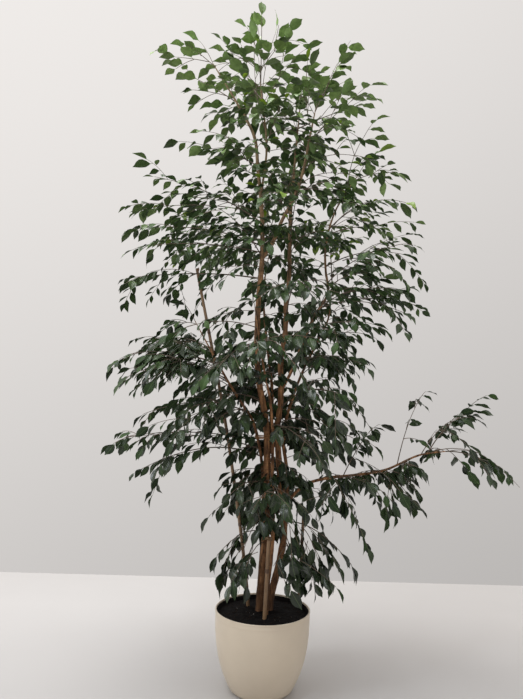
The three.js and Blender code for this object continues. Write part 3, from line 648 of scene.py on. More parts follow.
def crumb(name, colour):
    look = Look(name, Specular_IOR_Level=0.1)
    grit = look.speckle(scale=500.0)
    look.coloured(look.shades(grit, colour, (0.3, 0.5), (0.7, 1.3)))
    look.worn(grit, low=0.8, high=1.0)
    look.raised(grit, strength=0.5, distance=0.001)
    return look.material


def bamboo(name, colour):
    """Straw-coloured fibres with darker stains."""
    look = Look(name, Specular_IOR_Level=0.5)
    fibres = look.speckle(scale=30.0, detail=6.0, place=look.stretched(across=14, along=0.35))
    stains = look.ramp(look.speckle(scale=14.0, detail=3.0), (0.5, 0.0), (0.75, 0.55))
    straw = look.shades(fibres, colour, (0.3, 0.62), (0.55, 1), (0.75, 1.25))
    look.coloured(look.mixed(stains, straw, shade(colour, 0.5)))
    look.worn(fibres, low=0.35, high=0.6)
    look.raised(fibres, strength=0.4, distance=0.0008)
    return look.material


def bark(name, colour, cracks_and_shade, young):
    """Orange brown low down, greyer where younger, darker in its rings, painted shade near the soil."""
    look = Look(name, Specular_IOR_Level=0.3)
    plates = look.speckle(20.0, 8.0, look.stretched(across=3.2, along=0.7), roughness=0.65)
    rings = look.speckle(24.0, 4.0, look.stretched(across=0.6, along=7.0))
    height = look.add("ShaderNodeSeparateXYZ", Vector=look.place).outputs["Z"]
    old = look.ramp(
        plates, (0.35, tuple(cracks_and_shade)), (0.46, shade(colour, 0.7)), (0.56, shade(colour, 1.2)),
        (0.7, shade(colour, 2.4)))
    grey = look.shades(plates, young, (0.35, 0.6), (0.7, 1.3))
    age = look.ramp(look.maths("MULTIPLY", height, 0.3), (0.4, 0.0), (0.68, 0.8))
    # Painted shade: the stems' feet, deep under the crown, get darker towards the soil.
    painted_shade_near_soil = look.ramp(height, (0.32, 0.6), (0.62, 0.0))
    in_rings = look.ramp(rings, (0.56, 0.0), (0.72, 0.7))
    tone = look.mixed(age, old, grey)
    tone = look.mixed(painted_shade_near_soil, tone, shade(cracks_and_shade, 0.8))
    look.coloured(look.mixed(in_rings, tone, shade(cracks_and_shade, 1.1)))
    look.worn(plates, low=0.9, high=0.62)
    relief = look.maths("ADD", plates, look.maths("MULTIPLY", rings, 0.6))
    look.raised(relief, strength=0.7, distance=0.0022)
    return look.material


def young_bark(name, colour):
    look = Look(name, Specular_IOR_Level=0.35)
    streaks = look.speckle(scale=60.0, detail=5.0)
    look.coloured(look.shades(streaks, colour, (0.3, 0.55), (0.55, 1), (0.8, 1.7)))
    look.worn(streaks, low=0.5, high=0.75)
    look.raised(streaks, strength=0.4, distance=0.0006)
    return look.material


def raffia(colour):
    look = Look("twisted raffia", Specular_IOR_Level=0.25)
    strands = look.speckle(scale=420.0, place=look.stretched(across=0.5, along=1.6))
    look.coloured(look.shades(strands, colour, (0.3, 0.5), (0.7, 1.35)))
    look.worn(strands, low=0.7, high=0.95)
    look.raised(strands, strength=0.7, distance=0.0008)
    return look.material


LEAF_PLACE = "leaf_place"  # the attribute that holds the place along and across a blade, and its tint
TONES_AT = (0.0, 0.45, 0.82, 0.98)  # the tints that are quite dark, middling, light and young
VEINS = 95.0  # how closely the side veins lie along a blade
VEIN_SLANT = 26.0
RIB_HALF = (0.02, 0.06)  # half the rib's breadth, and where it has faded out
MOTTLE_ROUGHER = 0.12


def leaf_side(name, leaf, paleness_and_glow, roughness, gloss, contrast):
    """One side of the leaves, mottled, with its rib and side veins, and duller in the light tints."""
    look = Look(name)
    place = look.add("ShaderNodeAttribute", {"attribute_name": LEAF_PLACE}).outputs["Vector"]
    along, across, tint = look.add("ShaderNodeSeparateXYZ", Vector=place).outputs
    aside = look.maths("ABSOLUTE", across)
    # The paleness is partly the side's own colour, partly painted light standing for light through the
    # leaf.
    dark, middle, light = (shade(tone, paleness_and_glow) for tone in (leaf.dark, leaf.middle, leaf.light))
    green = look.ramp(tint, *zip(TONES_AT, (dark, middle, light, tuple(leaf.young))))
    mottle = look.speckle(scale=45.0)
    green = look.mixed(look.ramp(mottle, (0.35, 0.0), (0.7, 0.4)), green, dark)
    slant = look.maths("MULTIPLY", aside, VEIN_SLANT)
    waves = look.maths("SINE", look.maths("SUBTRACT", look.maths("MULTIPLY", along, VEINS), slant))
    veins = look.ramp(waves, (0.6, 0.0), (1.0, 0.35 * contrast))
    rib = look.ramp(aside, (RIB_HALF[0], 0.8 * contrast), (RIB_HALF[1], 0.0))
    lines = look.maths("MAXIMUM", veins, rib)
    look.coloured(look.mixed(lines, green, look.mixed(0.45, green, light)))
    look.worn(mottle, low=roughness, high=roughness + MOTTLE_ROUGHER)
    look.glossy(look.ramp(tint, (0.2, gloss), (0.7, 0.55 * gloss)))
    look.raised(lines, strength=0.3 * contrast, distance=0.0008)
    return look.material


def finish(make, name, *values):
    """A finish that several pieces share, made once."""
    return bpy.data.materials.get(name) or make(name, *values)


def old_bark():
    wood = bpy.context.scene.fig_wood
    return finish(bark, "orange brown bark", wood.bark, wood.bark_dark, wood.young)


def foliage_finishes():
    """The twigs' bark and the two sides of the leaves, in the order of the leafy pieces' slots."""
    wood, leaf = bpy.context.scene.fig_wood, bpy.context.scene.fig_leaf
    return (
        finish(young_bark, "young twig bark", wood.twig),
        finish(leaf_side, "waxy leaf", leaf, 1.0, 0.24, 0.45, 1.0),
        # The back's paleness is partly its own paler colour, partly painted light shining through the
        # leaf.
        finish(leaf_side, "dull leaf back", leaf, 1.6, 0.5, 0.2, 0.6),
    )


# Planter and soil

def pot_radius(pot, height):
    """The outside of the planter's full, slightly tapering side."""
    above = max(0, 1 - height / pot.height)
    return blend(pot.base_radius, pot.rim_radius, 1 - above**pot.bulge)


BAND_STEP = 0.0004  # how far the band between the moulded line and the lip stands out
BAND_STARTS = ((0.0003, 0.4), (0.0014, 1), (0.004, 1))  # heights over the line, and shares of the step
BAND_RINGS = (0.014, 0.008, 0.0058)  # down from the rim
SIDE_START = 0.009
LINE_EDGE = 0.0008  # from the side's last ring to the moulded line
SIDE_RINGS = 26
INNER_RINGS = (0.006, 0.014)  # down from the rim
INNER_HEIGHTS = (0.2, 0.1, 0.03, 0.012)  # below the line
FLOOR = 0.006
FLOOR_RADII = (0.108, 0.03)

# The foot's radii and heights, from its middle outwards.
FOOT_RING = ((0.09, 0.0022), (0.108, 0.002), (0.111, 0.0), (0.117, 0.0), (0.1215, 0.003))

# The lip's section, outwards from the rim's radius and down from its top.
LIP_SECTION = (
    (0.0012, 0.0051), (LIP_OUT, 0.0044), (LIP_OUT, 0.002), (0.0013, 0.0009), (0.0006, 0.0002),
    (-0.0004, 0), (-0.0026, 0), (-0.0036, 0.0003), (-0.0042, 0.0012),
)


def planter_profile(pot, line):
    """Radius and height, from the foot's middle up the outside, over the lip and down the inside."""
    def outside(height, extra=0.0):
        return (pot_radius(pot, height) + extra, height)

    profile = [*FOOT_RING]
    profile += [outside(height) for height in np.linspace(SIDE_START, line - LINE_EDGE, SIDE_RINGS)]
    profile += [outside(line + above, share * BAND_STEP) for above, share in BAND_STARTS]
    profile += [outside(pot.height - down, BAND_STEP) for down in BAND_RINGS]
    profile += [(pot.rim_radius + out, pot.height - down) for out, down in LIP_SECTION]
    heights = [*(pot.height - down for down in INNER_RINGS), line, *INNER_HEIGHTS]
    profile += [(pot_radius(pot, height) - pot.wall, height) for height in heights]
    profile += [(radius, FLOOR) for radius in FLOOR_RADII]
    return profile


INSIDE_MARGIN = 0.004  # what stays free of the painted shade on the wall's inside, at the rim and at the floor


class FIG_OT_planter(bpy.types.Operator):
    """Turns the planter with its foot, full side, moulded line and rolled lip"""

    bl_idname = "fig.planter"
    bl_label = "Planter"

    def execute(self, context):
        pot = context.scene.fig_pot
        planter = turned("planter", planter_profile(pot, context.scene.fig_soil.edge), pot.sides)
        planter.data.materials.append(planter_plastic(pot.colour))
        planter.data.materials.append(planter_inside_shade(pot.inside))
        # The faces of the wall's inside, between the margins, get the painted shade.
        for face in planter.data.polygons:
            middle = face.center
            inside = math.hypot(middle.x, middle.y) < pot_radius(pot, middle.z) - 0.7 * pot.wall
            if inside and INSIDE_MARGIN < middle.z < pot.height - INSIDE_MARGIN:
                face.material_index = 1
        smooth(planter, degrees=40)
        hand_over(planter, "pot", "pot")
        return {"FINISHED"}


SOIL_GAP = 0.0006  # between the soil and the planter's wall
SOIL_FOOT = (0.1, 0.0075)  # radius and height of its lowest ring
SOIL_HEIGHTS = (0.06, 0.14, 0.22)
SOIL_EDGE = 0.004  # from its last ring but one to its upper edge
SOIL_RINGS = 40
SOIL_SIDES = 144
SOIL_RELIEF = 0.006
SOIL_WAVES = ((30, 0.5, 2), (90, 0.35, 5), (260, 0.25, 9))  # how fine, how strong, and the noise's layer
CRUMB_SIZE = 0.0042
CRUMB_SMALLEST = 0.3  # as a share of the largest
CRUMB_TILT = 1.2
CRUMB_MARGIN = 0.008  # to the planter's wall
SPECK_SIZE = 0.0021
SPECKS = 46


def soil_profile(pot, soil):
    """Radius and height, from the foot of the soil up the planter's wall and inwards over the top."""
    heights = (*SOIL_HEIGHTS, soil.edge - SOIL_EDGE, soil.edge)
    profile = [SOIL_FOOT]
    profile += [(pot_radius(pot, height) - pot.wall - SOIL_GAP, height) for height in heights]
    reach = profile[-1][0]
    for share in np.linspace(0.97, 0.03, SOIL_RINGS):
        profile.append((reach * share, blend(soil.middle, soil.edge, share**2)))
    return profile


def soil_height(soil, x, y, reach):
    """The uneven surface of the soil, higher in the middle and calmer at the wall."""
    share = min(1, math.hypot(x, y) / reach)
    level = blend(soil.middle, soil.edge, share**2)
    rise = sum(strong * noise.noise((fine * x, fine * y, layer)) for fine, strong, layer in SOIL_WAVES)
    return level + SOIL_RELIEF * rise * min(1, 8 * (1 - share) + 0.25)


def lump(name, material):
    """One rough lump of a metre's radius, to be copied at the size of a crumb."""
    deselect()
    bpy.ops.mesh.primitive_ico_sphere_add(subdivisions=1, radius=1.0, enter_editmode=True)
    bpy.ops.transform.vertex_random(offset=0.3, uniform=1.0, seed=4)
    bpy.ops.object.mode_set(mode="OBJECT")
    piece = bpy.context.object
    piece.name = name
    piece.data.materials.append(material)
    return piece


def strewn(name, pattern, places):
    """Copies of a small piece in one, each at its place, turned and stretched by its matrix."""
    corners = np.array([corner.co for corner in pattern.data.vertices])
    faces = [tuple(face.vertices) for face in pattern.data.polygons]
    vertices, polygons = [], []
    for place in places:
        turn, move = np.array(place.to_3x3()), np.array(place.translation)
        start = len(vertices)
        vertices.extend(corners @ turn.T + move)
        polygons.extend(tuple(start + corner for corner in face) for face in faces)
    mesh = bpy.data.meshes.new(name)
    mesh.from_pydata([tuple(vertex) for vertex in vertices], [], polygons)
    mesh.materials.append(pattern.data.materials[0])
    bpy.data.objects.remove(pattern)
    return placed(name, mesh)


def crumb_places(soil, reach, count, seed, largest):
    """Where the lumps lie on the soil, and how each is turned and flattened."""
    for k in range(count):
        angle = math.tau * chance(seed, k, 1)
        out = reach * math.sqrt(chance(seed, k, 2))
        x, y = out * math.cos(angle), out * math.sin(angle)
        size = largest * blend(CRUMB_SMALLEST, 1, chance(seed, k, 3) ** 3)
        turn = Matrix.Rotation(math.tau * chance(seed, k, 4), 3, "Z")
        turn = turn @ Matrix.Rotation(CRUMB_TILT * (chance(seed, k, 5) - 0.5), 3, "X")
        shape = Matrix.Diagonal((size * (1 + chance(seed, k, 6)), size, 0.6 * size))
        place = (turn @ shape).to_4x4()
        place.translation = (x, y, soil_height(soil, x, y, reach) + 0.15 * size)
        yield place


class FIG_OT_soil(bpy.types.Operator):
    """Fills the planter with uneven soil, and strews crumbs and specks over it"""

    bl_idname = "fig.soil"
    bl_label = "Potting soil"

    def execute(self, context):
        soil = context.scene.fig_soil
        profile = soil_profile(context.scene.fig_pot, soil)
        reach = max(radius for radius, _ in profile)
        bed = turned("potting_soil", profile, SOIL_SIDES)
        for corner in bed.data.vertices:
            x, y, z = corner.co
            if z > soil.edge - 0.001:
                corner.co.z = soil_height(soil, x, y, reach)
        bed.data.materials.append(damp_soil(soil.colour))
        smooth(bed, degrees=50)
        crumbs = strewn(
            "crumbs", lump("crumb pattern", crumb("dry crumbs", soil.crumb)),
            crumb_places(soil, reach - CRUMB_MARGIN, soil.crumbs, 3, CRUMB_SIZE))
        specks = strewn(
            "specks", lump("speck pattern", crumb("pale specks", soil.speck)),
            crumb_places(soil, reach - CRUMB_MARGIN, SPECKS, 8, SPECK_SIZE))
        joined("potting_soil", bed, crumbs, specks)
        hand_over(bed, "soil", "soil")
        return {"FINISHED"}


# Canes, stems and tie

CANE_STEP = 0.004
CANE_BORE = 0.012  # how deep the hollow at the top is
CANE_WALL = 0.0022
KNOT_SWELL = 0.0013
KNOT_HALF = 0.005
KNOT_STRAY = 0.2  # how unevenly the knots follow each other, as a share of their spacing
FIRST_KNOT = 0.45
KNOT_STAIN = 0.0115  # how far the darker finish reaches from a knot
GROOVE = 0.0007
GROOVE_AT = 0.0065  # from the middle of a knot to its groove
GROOVE_HALF = 0.0022


def knot_shares(knots):
    """Where the knots of a cane are, as shares of its length."""
    return [(k + FIRST_KNOT + KNOT_STRAY * chance(k, knots)) / knots for k in range(knots)]


def cane_tube(name, radii, knots, points, materials):
    """A cane with a ridge and a groove at each knot, which has the second of its materials."""
    route = through(points)
    count = round(route.length / CANE_STEP)
    places = [i / count for i in range(count + 1)]
    marks = [share * route.length for share in knot_shares(knots)]
    thick = []
    for share in places:
        near = min((share * route.length - mark for mark in marks), key=abs)
        swell = KNOT_SWELL * math.exp(-(near / KNOT_HALF) ** 2)
        groove = GROOVE * math.exp(-((near - GROOVE_AT) / GROOVE_HALF) ** 2)
        thick.append(blend(*radii, share) + swell - groove)
    tube = ([route.at(share) for share in places], thick, 0)
    cane = tubes(name, [tube], roundness=6, materials=materials)
    for face in cane.data.polygons:
        nearest = min((route.at(mark / route.length) - face.center).length for mark in marks)
        if nearest < KNOT_STAIN:
            face.material_index = 1
    return cane, route


def hollow_top(cane, route):
    """Sinks the cut end, which shows that the cane is hollow."""
    choose(cane)
    bpy.ops.object.mode_set(mode="EDIT")
    bpy.ops.mesh.select_mode(type="FACE")
    bpy.ops.mesh.select_all(action="DESELECT")
    bpy.ops.object.mode_set(mode="OBJECT")
    top = max(cane.data.polygons, key=lambda face: face.center.z)
    top.select = True
    bpy.ops.object.mode_set(mode="EDIT")
    bpy.ops.mesh.inset(thickness=CANE_WALL)
    bpy.ops.mesh.extrude_region_move(TRANSFORM_OT_translate={"value": -CANE_BORE * route.heading(1.0)})
    bpy.ops.object.mode_set(mode="OBJECT")


class FIG_OT_canes(bpy.types.Operator):
    """Makes the three bamboo canes with their knots and hollow ends"""

    bl_idname = "fig.canes"
    bl_label = "Bamboo canes"

    def execute(self, context):
        wood = context.scene.fig_wood
        finishes = (bamboo("split dry bamboo", wood.cane), bamboo("bamboo knots", wood.cane_knot))
        for node, (radii, knots, points) in CANES.items():
            piece, route = cane_tube(node.replace("cane", "bamboo"), radii, knots, points, finishes)
            hollow_top(piece, route)
            hand_over(piece, "bamboo", node)
        return {"FINISHED"}


STEM_STEP = 0.012
TAPER = 1.7  # how long a limb keeps its thickness before it narrows
NARROW_FROM = 0.88  # the share of its length from which a limb narrows once more, and
NARROWING = 0.45  # by how much
SOIL_LEVEL = 0.287
FLARE = 0.12  # how much thicker a stem is where it meets the soil
FLARE_HEIGHT = 0.035
UNEVEN = 0.07  # how much its thickness varies
UNEVEN_WAVE = 9
KNOB_SWELL = 0.09  # where old leaves and twigs sat
KNOB_WAVE = 74
KNOB_STRAY = 3
KNOB_SHARPNESS = 8


def limb_radius(limb, share):
    """How thick a limb is at a share of its length."""
    foot, top = LIMBS[limb][0]
    return blend(foot, top, share**TAPER)


def stem_tube(limb, number):
    """The points and radii of a limb, with swellings where old leaves and twigs sat."""
    route = LIMB_ROUTES[limb]
    count = round(route.length / STEM_STEP)
    points, thick = [], []
    for i in range(count + 1):
        share = i / count
        point = route.at(share)
        length = share * route.length
        stray = KNOB_STRAY * math.sin(UNEVEN_WAVE * length)
        knob = max(0, math.sin(length * KNOB_WAVE + stray + number)) ** KNOB_SHARPNESS
        rough = 1 + UNEVEN * noise.noise((UNEVEN_WAVE * length, number, 0)) + KNOB_SWELL * knob
        flare = FLARE * math.exp(-abs(point.z - SOIL_LEVEL) / FLARE_HEIGHT)
        narrow = 1 - NARROWING * clamp((share - NARROW_FROM) / (1 - NARROW_FROM), 0, 1)
        points.append(point)
        thick.append(limb_radius(limb, share) * (rough + flare) * narrow)
    return points, thick, 0


def wrinkled(piece, size, strength):
    """Raises and sinks a surface by a cloudy pattern."""
    choose(piece)
    pattern = bpy.data.textures.new("wrinkles", "CLOUDS")
    pattern.noise_scale = size
    wrinkle = piece.modifiers.new("wrinkles", "DISPLACE")
    wrinkle.texture = pattern
    wrinkle.texture_coords = "LOCAL"
    wrinkle.strength = strength
    wrinkle.mid_level = 0.5
    bpy.ops.object.modifier_apply(modifier=wrinkle.name)


class FIG_OT_stems(bpy.types.Operator):
    """Grows the six woody stems with the limbs that leave them"""

    bl_idname = "fig.stems"
    bl_label = "Woody stems"

    def execute(self, context):
        for number, (stem, limbs) in enumerate(STEMS.items()):
            routes = [stem_tube(limb, 10 * number + k) for k, limb in enumerate(limbs)]
            trunk = tubes("trunk_" + stem, routes, roundness=6, materials=[old_bark()])
            wrinkled(trunk, size=0.016, strength=0.0022)
            hand_over(trunk, "bark", "stem_" + stem)
        return {"FINISHED"}


FRONT = -math.pi / 2
CORD = 0.0017  # the radius of the raffia
TIE_HEIGHT = 1.0
TIE_TURNS = 5
TIE_STEPS = 72  # in each turn
TIE_SPREAD = 0.0075  # how far its outer turns lie above and below its middle
TIE_WANDER = 0.002
TIE_WAVES = (9, 17)  # how fast it moves out and in, and up and down, in radians for each turn
KNOT_OUT = 3.6  # from the bark to the middle of the knot, as a share of the cord's radius
KNOT_SIZE = 0.0023
KNOT_STEPS = 48
END_STEPS = 14

# A loose end of the tie, from the knot outwards and down.
LOOSE_END = ((0, 0, 0), (0.004, -0.003, 0.001), (0.011, -0.005, -0.004), (0.016, -0.004, -0.013),
    (0.017, -0.002, -0.024))


def stems_at(height):
    """The middle and radius of each stem at a height."""
    circles = []
    for stem in STEMS:
        share, middle = LIMB_ROUTES[stem].whence(2, height, LIMBS[stem][1])
        circles.append((middle, limb_radius(stem, share)))
    return circles


def round_stems(circles, angle, out):
    """Where a cord drawn tight round some circles lies in a direction, out from their bark."""
    way = Vector((math.cos(angle), math.sin(angle), 0))
    middle, radius = max(circles, key=lambda circle: circle[0].dot(way) + circle[1])
    return middle + (radius + out) * way


def tie_winding(circles):
    """The turns of the tie, from the lowest to the highest."""
    steps = TIE_STEPS * TIE_TURNS
    points = []
    for i in range(steps + 1):
        turn = TIE_TURNS * i / steps
        out = CORD * (1.5 + 0.5 * math.sin(TIE_WAVES[0] * turn))
        point = round_stems(circles, FRONT + math.tau * turn, out)
        point.z = TIE_HEIGHT + blend(-TIE_SPREAD, TIE_SPREAD, i / steps)
        point.z += TIE_WANDER * math.sin(TIE_WAVES[1] * turn)
        points.append(point)
    return points


def tie_knot(knot):
    """The knot's cord, which crosses itself three times."""
    points = []
    for i in range(KNOT_STEPS + 1):
        angle = math.tau * i / KNOT_STEPS
        offset = Vector((math.sin(angle) + 2 * math.sin(2 * angle), 0.8 * math.sin(3 * angle),
            math.cos(angle) - 2 * math.cos(2 * angle)))
        points.append(knot + KNOT_SIZE * offset)
    return points


def tie_end(knot, side):
    """A loose end that hangs from the knot, to one side of it."""
    route = through([knot + Vector((x * side, y, z)) for x, y, z in LOOSE_END])
    return [route.at(i / END_STEPS) for i in range(END_STEPS + 1)]


class FIG_OT_tie(bpy.types.Operator):
    """Winds and knots the raffia that holds the stems together"""

    bl_idname = "fig.tie"
    bl_label = "Raffia tie"

    def execute(self, context):
        circles = stems_at(TIE_HEIGHT)
        knot = round_stems(circles, FRONT, CORD * KNOT_OUT)
        knot.z = TIE_HEIGHT
        lines = (tie_winding(circles), tie_knot(knot), tie_end(knot, -1), tie_end(knot, 1))
        cords = [(points, [CORD] * len(points), 0) for points in lines]
        tie = tubes("twine_tie", cords, roundness=2, materials=[raffia(context.scene.fig_wood.tie)])
        wrinkled(tie, size=0.003, strength=0.0006)
        hand_over(tie, "tie", "stem_tie")
        return {"FINISHED"}


# Leaves

BREADTH = 0.5  # of its length, for a leaf of middling breadth

# Along a leaf: share of its length with the stalk, and half its breadth there as a share of the widest.
OUTLINE = ((0, 0.04), (0.12, 0.03), (0.165, 0.22), (0.28, 0.66), (0.44, 0.96), (0.6, 1), (0.76, 0.78),
    (0.9, 0.25), (1, 0))

# Round a leaf: how far aside each corner lies. The third is the rib on top, and the last the rib below.
ROUND_LEAF = (1, 0.5, 0, -0.5, -1, 0)
RIB_BELOW = 5

LeafStyle = namedtuple("LeafStyle", "fold droop curl wave sweep")

# Fold along the rib, droop, curl of the tip, wave of the edges, bend to one side.
LEAF_STYLES = (
    LeafStyle(0.26, 0.10, 0.03, 0.02, 0.02), LeafStyle(0.16, 0.20, 0.06, 0.03, -0.07),
    LeafStyle(0.48, 0.06, -0.02, 0.02, 0.05), LeafStyle(0.08, 0.30, 0.04, 0.05, 0.08),
    LeafStyle(0.30, 0.16, 0.08, 0.05, -0.04), LeafStyle(0.36, 0.26, -0.03, 0.03, 0.0),
)
STALK_END = 0.15
STALK_THICKNESS = 0.012
BLADE_THICKNESS = 0.009  # as shares of its length, like all that follows
RIB_RISE = 0.002
BLADE_FROM = 0.12  # where the droop and the bend start
CURL_FROM = 0.7
CURL_STRENGTH = 6
SWELL = 1.12  # how much the halves of the face rise between the rib and the edges
EDGE_WAVES = 11
EDGES_APART = 2  # between the waves of its two edges, as an angle
WELD = 0.0005


def leaf_corner(along, half, place, style):
    """A corner of the ring round a leaf at a share of its length."""
    aside = ROUND_LEAF[place]
    y = 0.5 * BREADTH * half * aside
    height = style.fold * abs(y) * (1 if abs(aside) == 1 else SWELL)
    wave = math.sin(EDGE_WAVES * along + (EDGES_APART if aside > 0 else 0))
    height += style.wave * wave * abs(aside) * half
    if place == RIB_BELOW:
        height -= STALK_THICKNESS if along < STALK_END else BLADE_THICKNESS
    elif aside == 0:
        height += RIB_RISE
    blade = max(0, along - BLADE_FROM)
    height -= style.droop * blade**2 + style.curl * max(0, along - CURL_FROM) ** 2 * CURL_STRENGTH
    return (along - 0.15 * style.droop * blade, y + style.sweep * blade**2, height)


class LeafShape:
    """The corners and faces of one style of leaf, a unit long along X with its face up."""

    def __init__(self, style):
        deselect()
        bpy.ops.mesh.primitive_circle_add(vertices=len(ROUND_LEAF), radius=0.01, enter_editmode=True)
        for _ in OUTLINE[1:]:
            bpy.ops.mesh.extrude_edges_move(TRANSFORM_OT_translate={"value": (0.1, 0, 0)})
        bpy.ops.object.mode_set(mode="OBJECT")
        piece = bpy.context.object
        mesh = piece.data
        for number, corner in enumerate(mesh.vertices):
            ring, place = divmod(number, len(ROUND_LEAF))
            corner.co = leaf_corner(*OUTLINE[ring], place, style)
        self.close(piece)
        self.corners = np.array([corner.co for corner in mesh.vertices])
        self.faces = [tuple(face.vertices) for face in mesh.polygons]
        self.finishes = [2 if face.normal.z < 0 else 1 for face in mesh.polygons]
        self.tip = self.corners[self.corners[:, 0].argmax()]
        along, across = self.corners[:, 0], self.corners[:, 1]
        self.places = np.stack([along, across / (0.5 * BREADTH), 0 * along], axis=1)
        bpy.data.objects.remove(piece)

    @staticmethod
    def close(piece):
        """Draws the tip's corners into one, closes the foot and turns all faces outwards."""
        choose(piece)
        bpy.ops.object.mode_set(mode="EDIT")
        bpy.ops.mesh.select_all(action="SELECT")
        bpy.ops.mesh.remove_doubles(threshold=WELD)
        bpy.ops.mesh.select_all(action="DESELECT")
        bpy.ops.mesh.select_non_manifold()
        bpy.ops.mesh.edge_face_add()
        bpy.ops.object.mode_set(mode="OBJECT")
        face_out(piece)


LEAF_SHAPES = []


def leaf_shapes():
    """The shape of each style of leaf, made at the first call."""
    if not LEAF_SHAPES:
        LEAF_SHAPES.extend(LeafShape(style) for style in LEAF_STYLES)
    return LEAF_SHAPES


Leaf = namedtuple("Leaf", "root along face length breadth tint style")


def leaf_matrix(leaf):
    """What turns and stretches a leaf's shape to its direction and size."""
    along = leaf.along.normalized()
    face = (leaf.face - leaf.face.dot(along) * along).normalized()
    across = face.cross(along)
    return np.array([leaf.length * along, leaf.length * leaf.breadth * across, leaf.length * face])


def foliage(name, leaves, materials):
    """All the leaves of a piece in one mesh, each a copy of a leaf shape."""
    corners, places, faces, finishes = [], [], [], []
    start = 0
    for leaf in leaves:
        shape = leaf_shapes()[leaf.style]
        corners.append(shape.corners @ leaf_matrix(leaf) + np.array(leaf.root))
        place = shape.places.copy()
        place[:, 2] = leaf.tint
        places.append(place)
        faces.extend(tuple(start + corner for corner in face) for face in shape.faces)
        finishes.extend(shape.finishes)
        start += len(shape.corners)
    mesh = bpy.data.meshes.new(name)
    mesh.from_pydata(np.concatenate(corners).tolist(), [], faces)
    for material in materials:
        mesh.materials.append(material)
    mesh.polygons.foreach_set("material_index", finishes)
    attribute = mesh.attributes.new(LEAF_PLACE, "FLOAT_VECTOR", "POINT")
    attribute.data.foreach_set("vector", np.concatenate(places).ravel())
    return placed(name, mesh)


ROOM = 0.011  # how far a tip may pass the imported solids' box
LOWEST_TIP = (0.35, 0.56)  # of the leaves beside the planter, and of those in front of the stems
STEMS_AT = 0.01  # the middle of the stems that show from the front, and
STEMS_HALF = 0.035  # half their breadth
FRONT_DEPTH = 0.1
HIGHEST_TIP = 3.085
HIGHEST_AT = -0.075
FRONT_SLOPE = 0.87  # how much lower the crown's top is for each metre to the front
SIDE_SLOPE = 0.35  # the same for each metre to a side of its highest leaf


def is_clear(tip):
    """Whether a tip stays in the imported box, under the crown's sloping top and off the planter."""
    low, high = CAD_BOX
    in_front = clamp(-tip.y / FRONT_DEPTH, 0, 1) * clamp(2 - abs(tip.x - STEMS_AT) / STEMS_HALF, 0, 1)
    top = HIGHEST_TIP + FRONT_SLOPE * min(0, tip.y) - SIDE_SLOPE * abs(tip.x - HIGHEST_AT)
    level = blend(*LOWEST_TIP, in_front) < tip.z < top
    return level and all(low[axis] - ROOM < tip[axis] < high[axis] + ROOM for axis in range(3))


def fits(leaf):
    """Whether a leaf's tip is where the plant has room for it."""
    return is_clear(leaf.root + Vector(leaf_shapes()[leaf.style].tip @ leaf_matrix(leaf)))


YOUNG_ABOVE = 1.85  # only the top of the crown bears leaves just opened
YOUNG_SHARE = 0.11  # of the shoots there
YOUNG_TINT = 0.99
LIME_SHARE = (0.015, 0.05)  # of the grown leaves there, at the left and at the right
LIME_TINT = 0.93
LIME_OUT = 0.25  # how far out in the crown they are, as a share of its reach
GROWN_TINT = 0.84  # the lightest of a grown leaf
LOWEST_LEAVES = 0.5
CROWN_HEIGHT = 2.5
CROWN_REACH = 0.5
RIGHT_REACH = 0.4
# Partly the leaves' age, partly painted light on the crown's top and outside, painted shade low and
# inside.
TINT_LOWEST = 0.02
TINT_RISE = 0.91  # from the lowest leaves to the top
TINT_CURVE = 1.8
TINT_OUT = 0.12  # from the middle to the outer leaves
TINT_STRAY = 0.4


def tint_with_painted_light(root, *keys):
    """Partly leaf age, partly painted light: darker low down and inside, lighter high up and outside."""
    height = clamp((root.z - LOWEST_LEAVES) / CROWN_HEIGHT, 0, 1)
    out = clamp(math.hypot(root.x, root.y) / CROWN_REACH, 0, 1)
    stray = TINT_STRAY * (chance(*keys, 11) - 0.5)
    tint = TINT_LOWEST + TINT_RISE * height**TINT_CURVE + TINT_OUT * out + stray
    lime = blend(*LIME_SHARE, clamp(root.x / RIGHT_REACH, 0, 1))
    if root.z > YOUNG_ABOVE and out > LIME_OUT and chance(*keys, 13) < lime:
        return LIME_TINT
    return clamp(tint, 0, GROWN_TINT)


POISE_FROM = 1.0
POISE_RISE = 1.1
UPRIGHT_WAY = Vector((0.65, -0.8, 0))
UPRIGHT_TURN = 1.5


def poise(root):
    """From 0 low in the crown, where leaves dangle, to 1 high up, where they are held out level."""
    return clamp((root.z - POISE_FROM) / POISE_RISE, 0, 1)


def upright_turn(along):
    """What turns the face of a leaf to the front and right, where it points straight up."""
    return UPRIGHT_TURN * clamp(along.normalized().z, 0, 1) ** 3 * UPRIGHT_WAY


# Where a grown leaf points: along its shoot, at its side or its tip, aside, out of the crown and down.
SIDE_ALONG = 0.6
TIP_ALONG = 1.0
LEAF_ASIDE = 0.75
LEAF_OUT = 0.3
LEAF_DOWN = 0.08
LEAF_HANG = 0.75  # further down, where its branch hangs
STRAY = (0.5, 0.5, 0.8)  # how much it varies to the right, to the back and up
STRAY_ASIDE = 0.4

# Where its face looks, low in the crown and high up: how much up, and how loosely it is turned.
FACE_UP = (0.6, 1.1)
FACE_LOOSE = (1.7, 0.95)
FACE_OUT = 0.35

# Its size: longer near the planter and at the top, and there also broader.
LOW_LEAVES = (1.0, 0.5)  # the height where that starts, and how much lower it has its full effect
HIGH_LEAVES = (1.9, 0.8)  # the same for the top, and how much higher
SIZE = 0.38  # the usual one, from 0 for the shortest to 1 for the longest
SIZE_LOW = 0.25
SIZE_HIGH = 0.4
SIZE_STRAY = 0.9
BREADTHS = (0.82, 1.08)
BREADTH_STRAY = 0.3


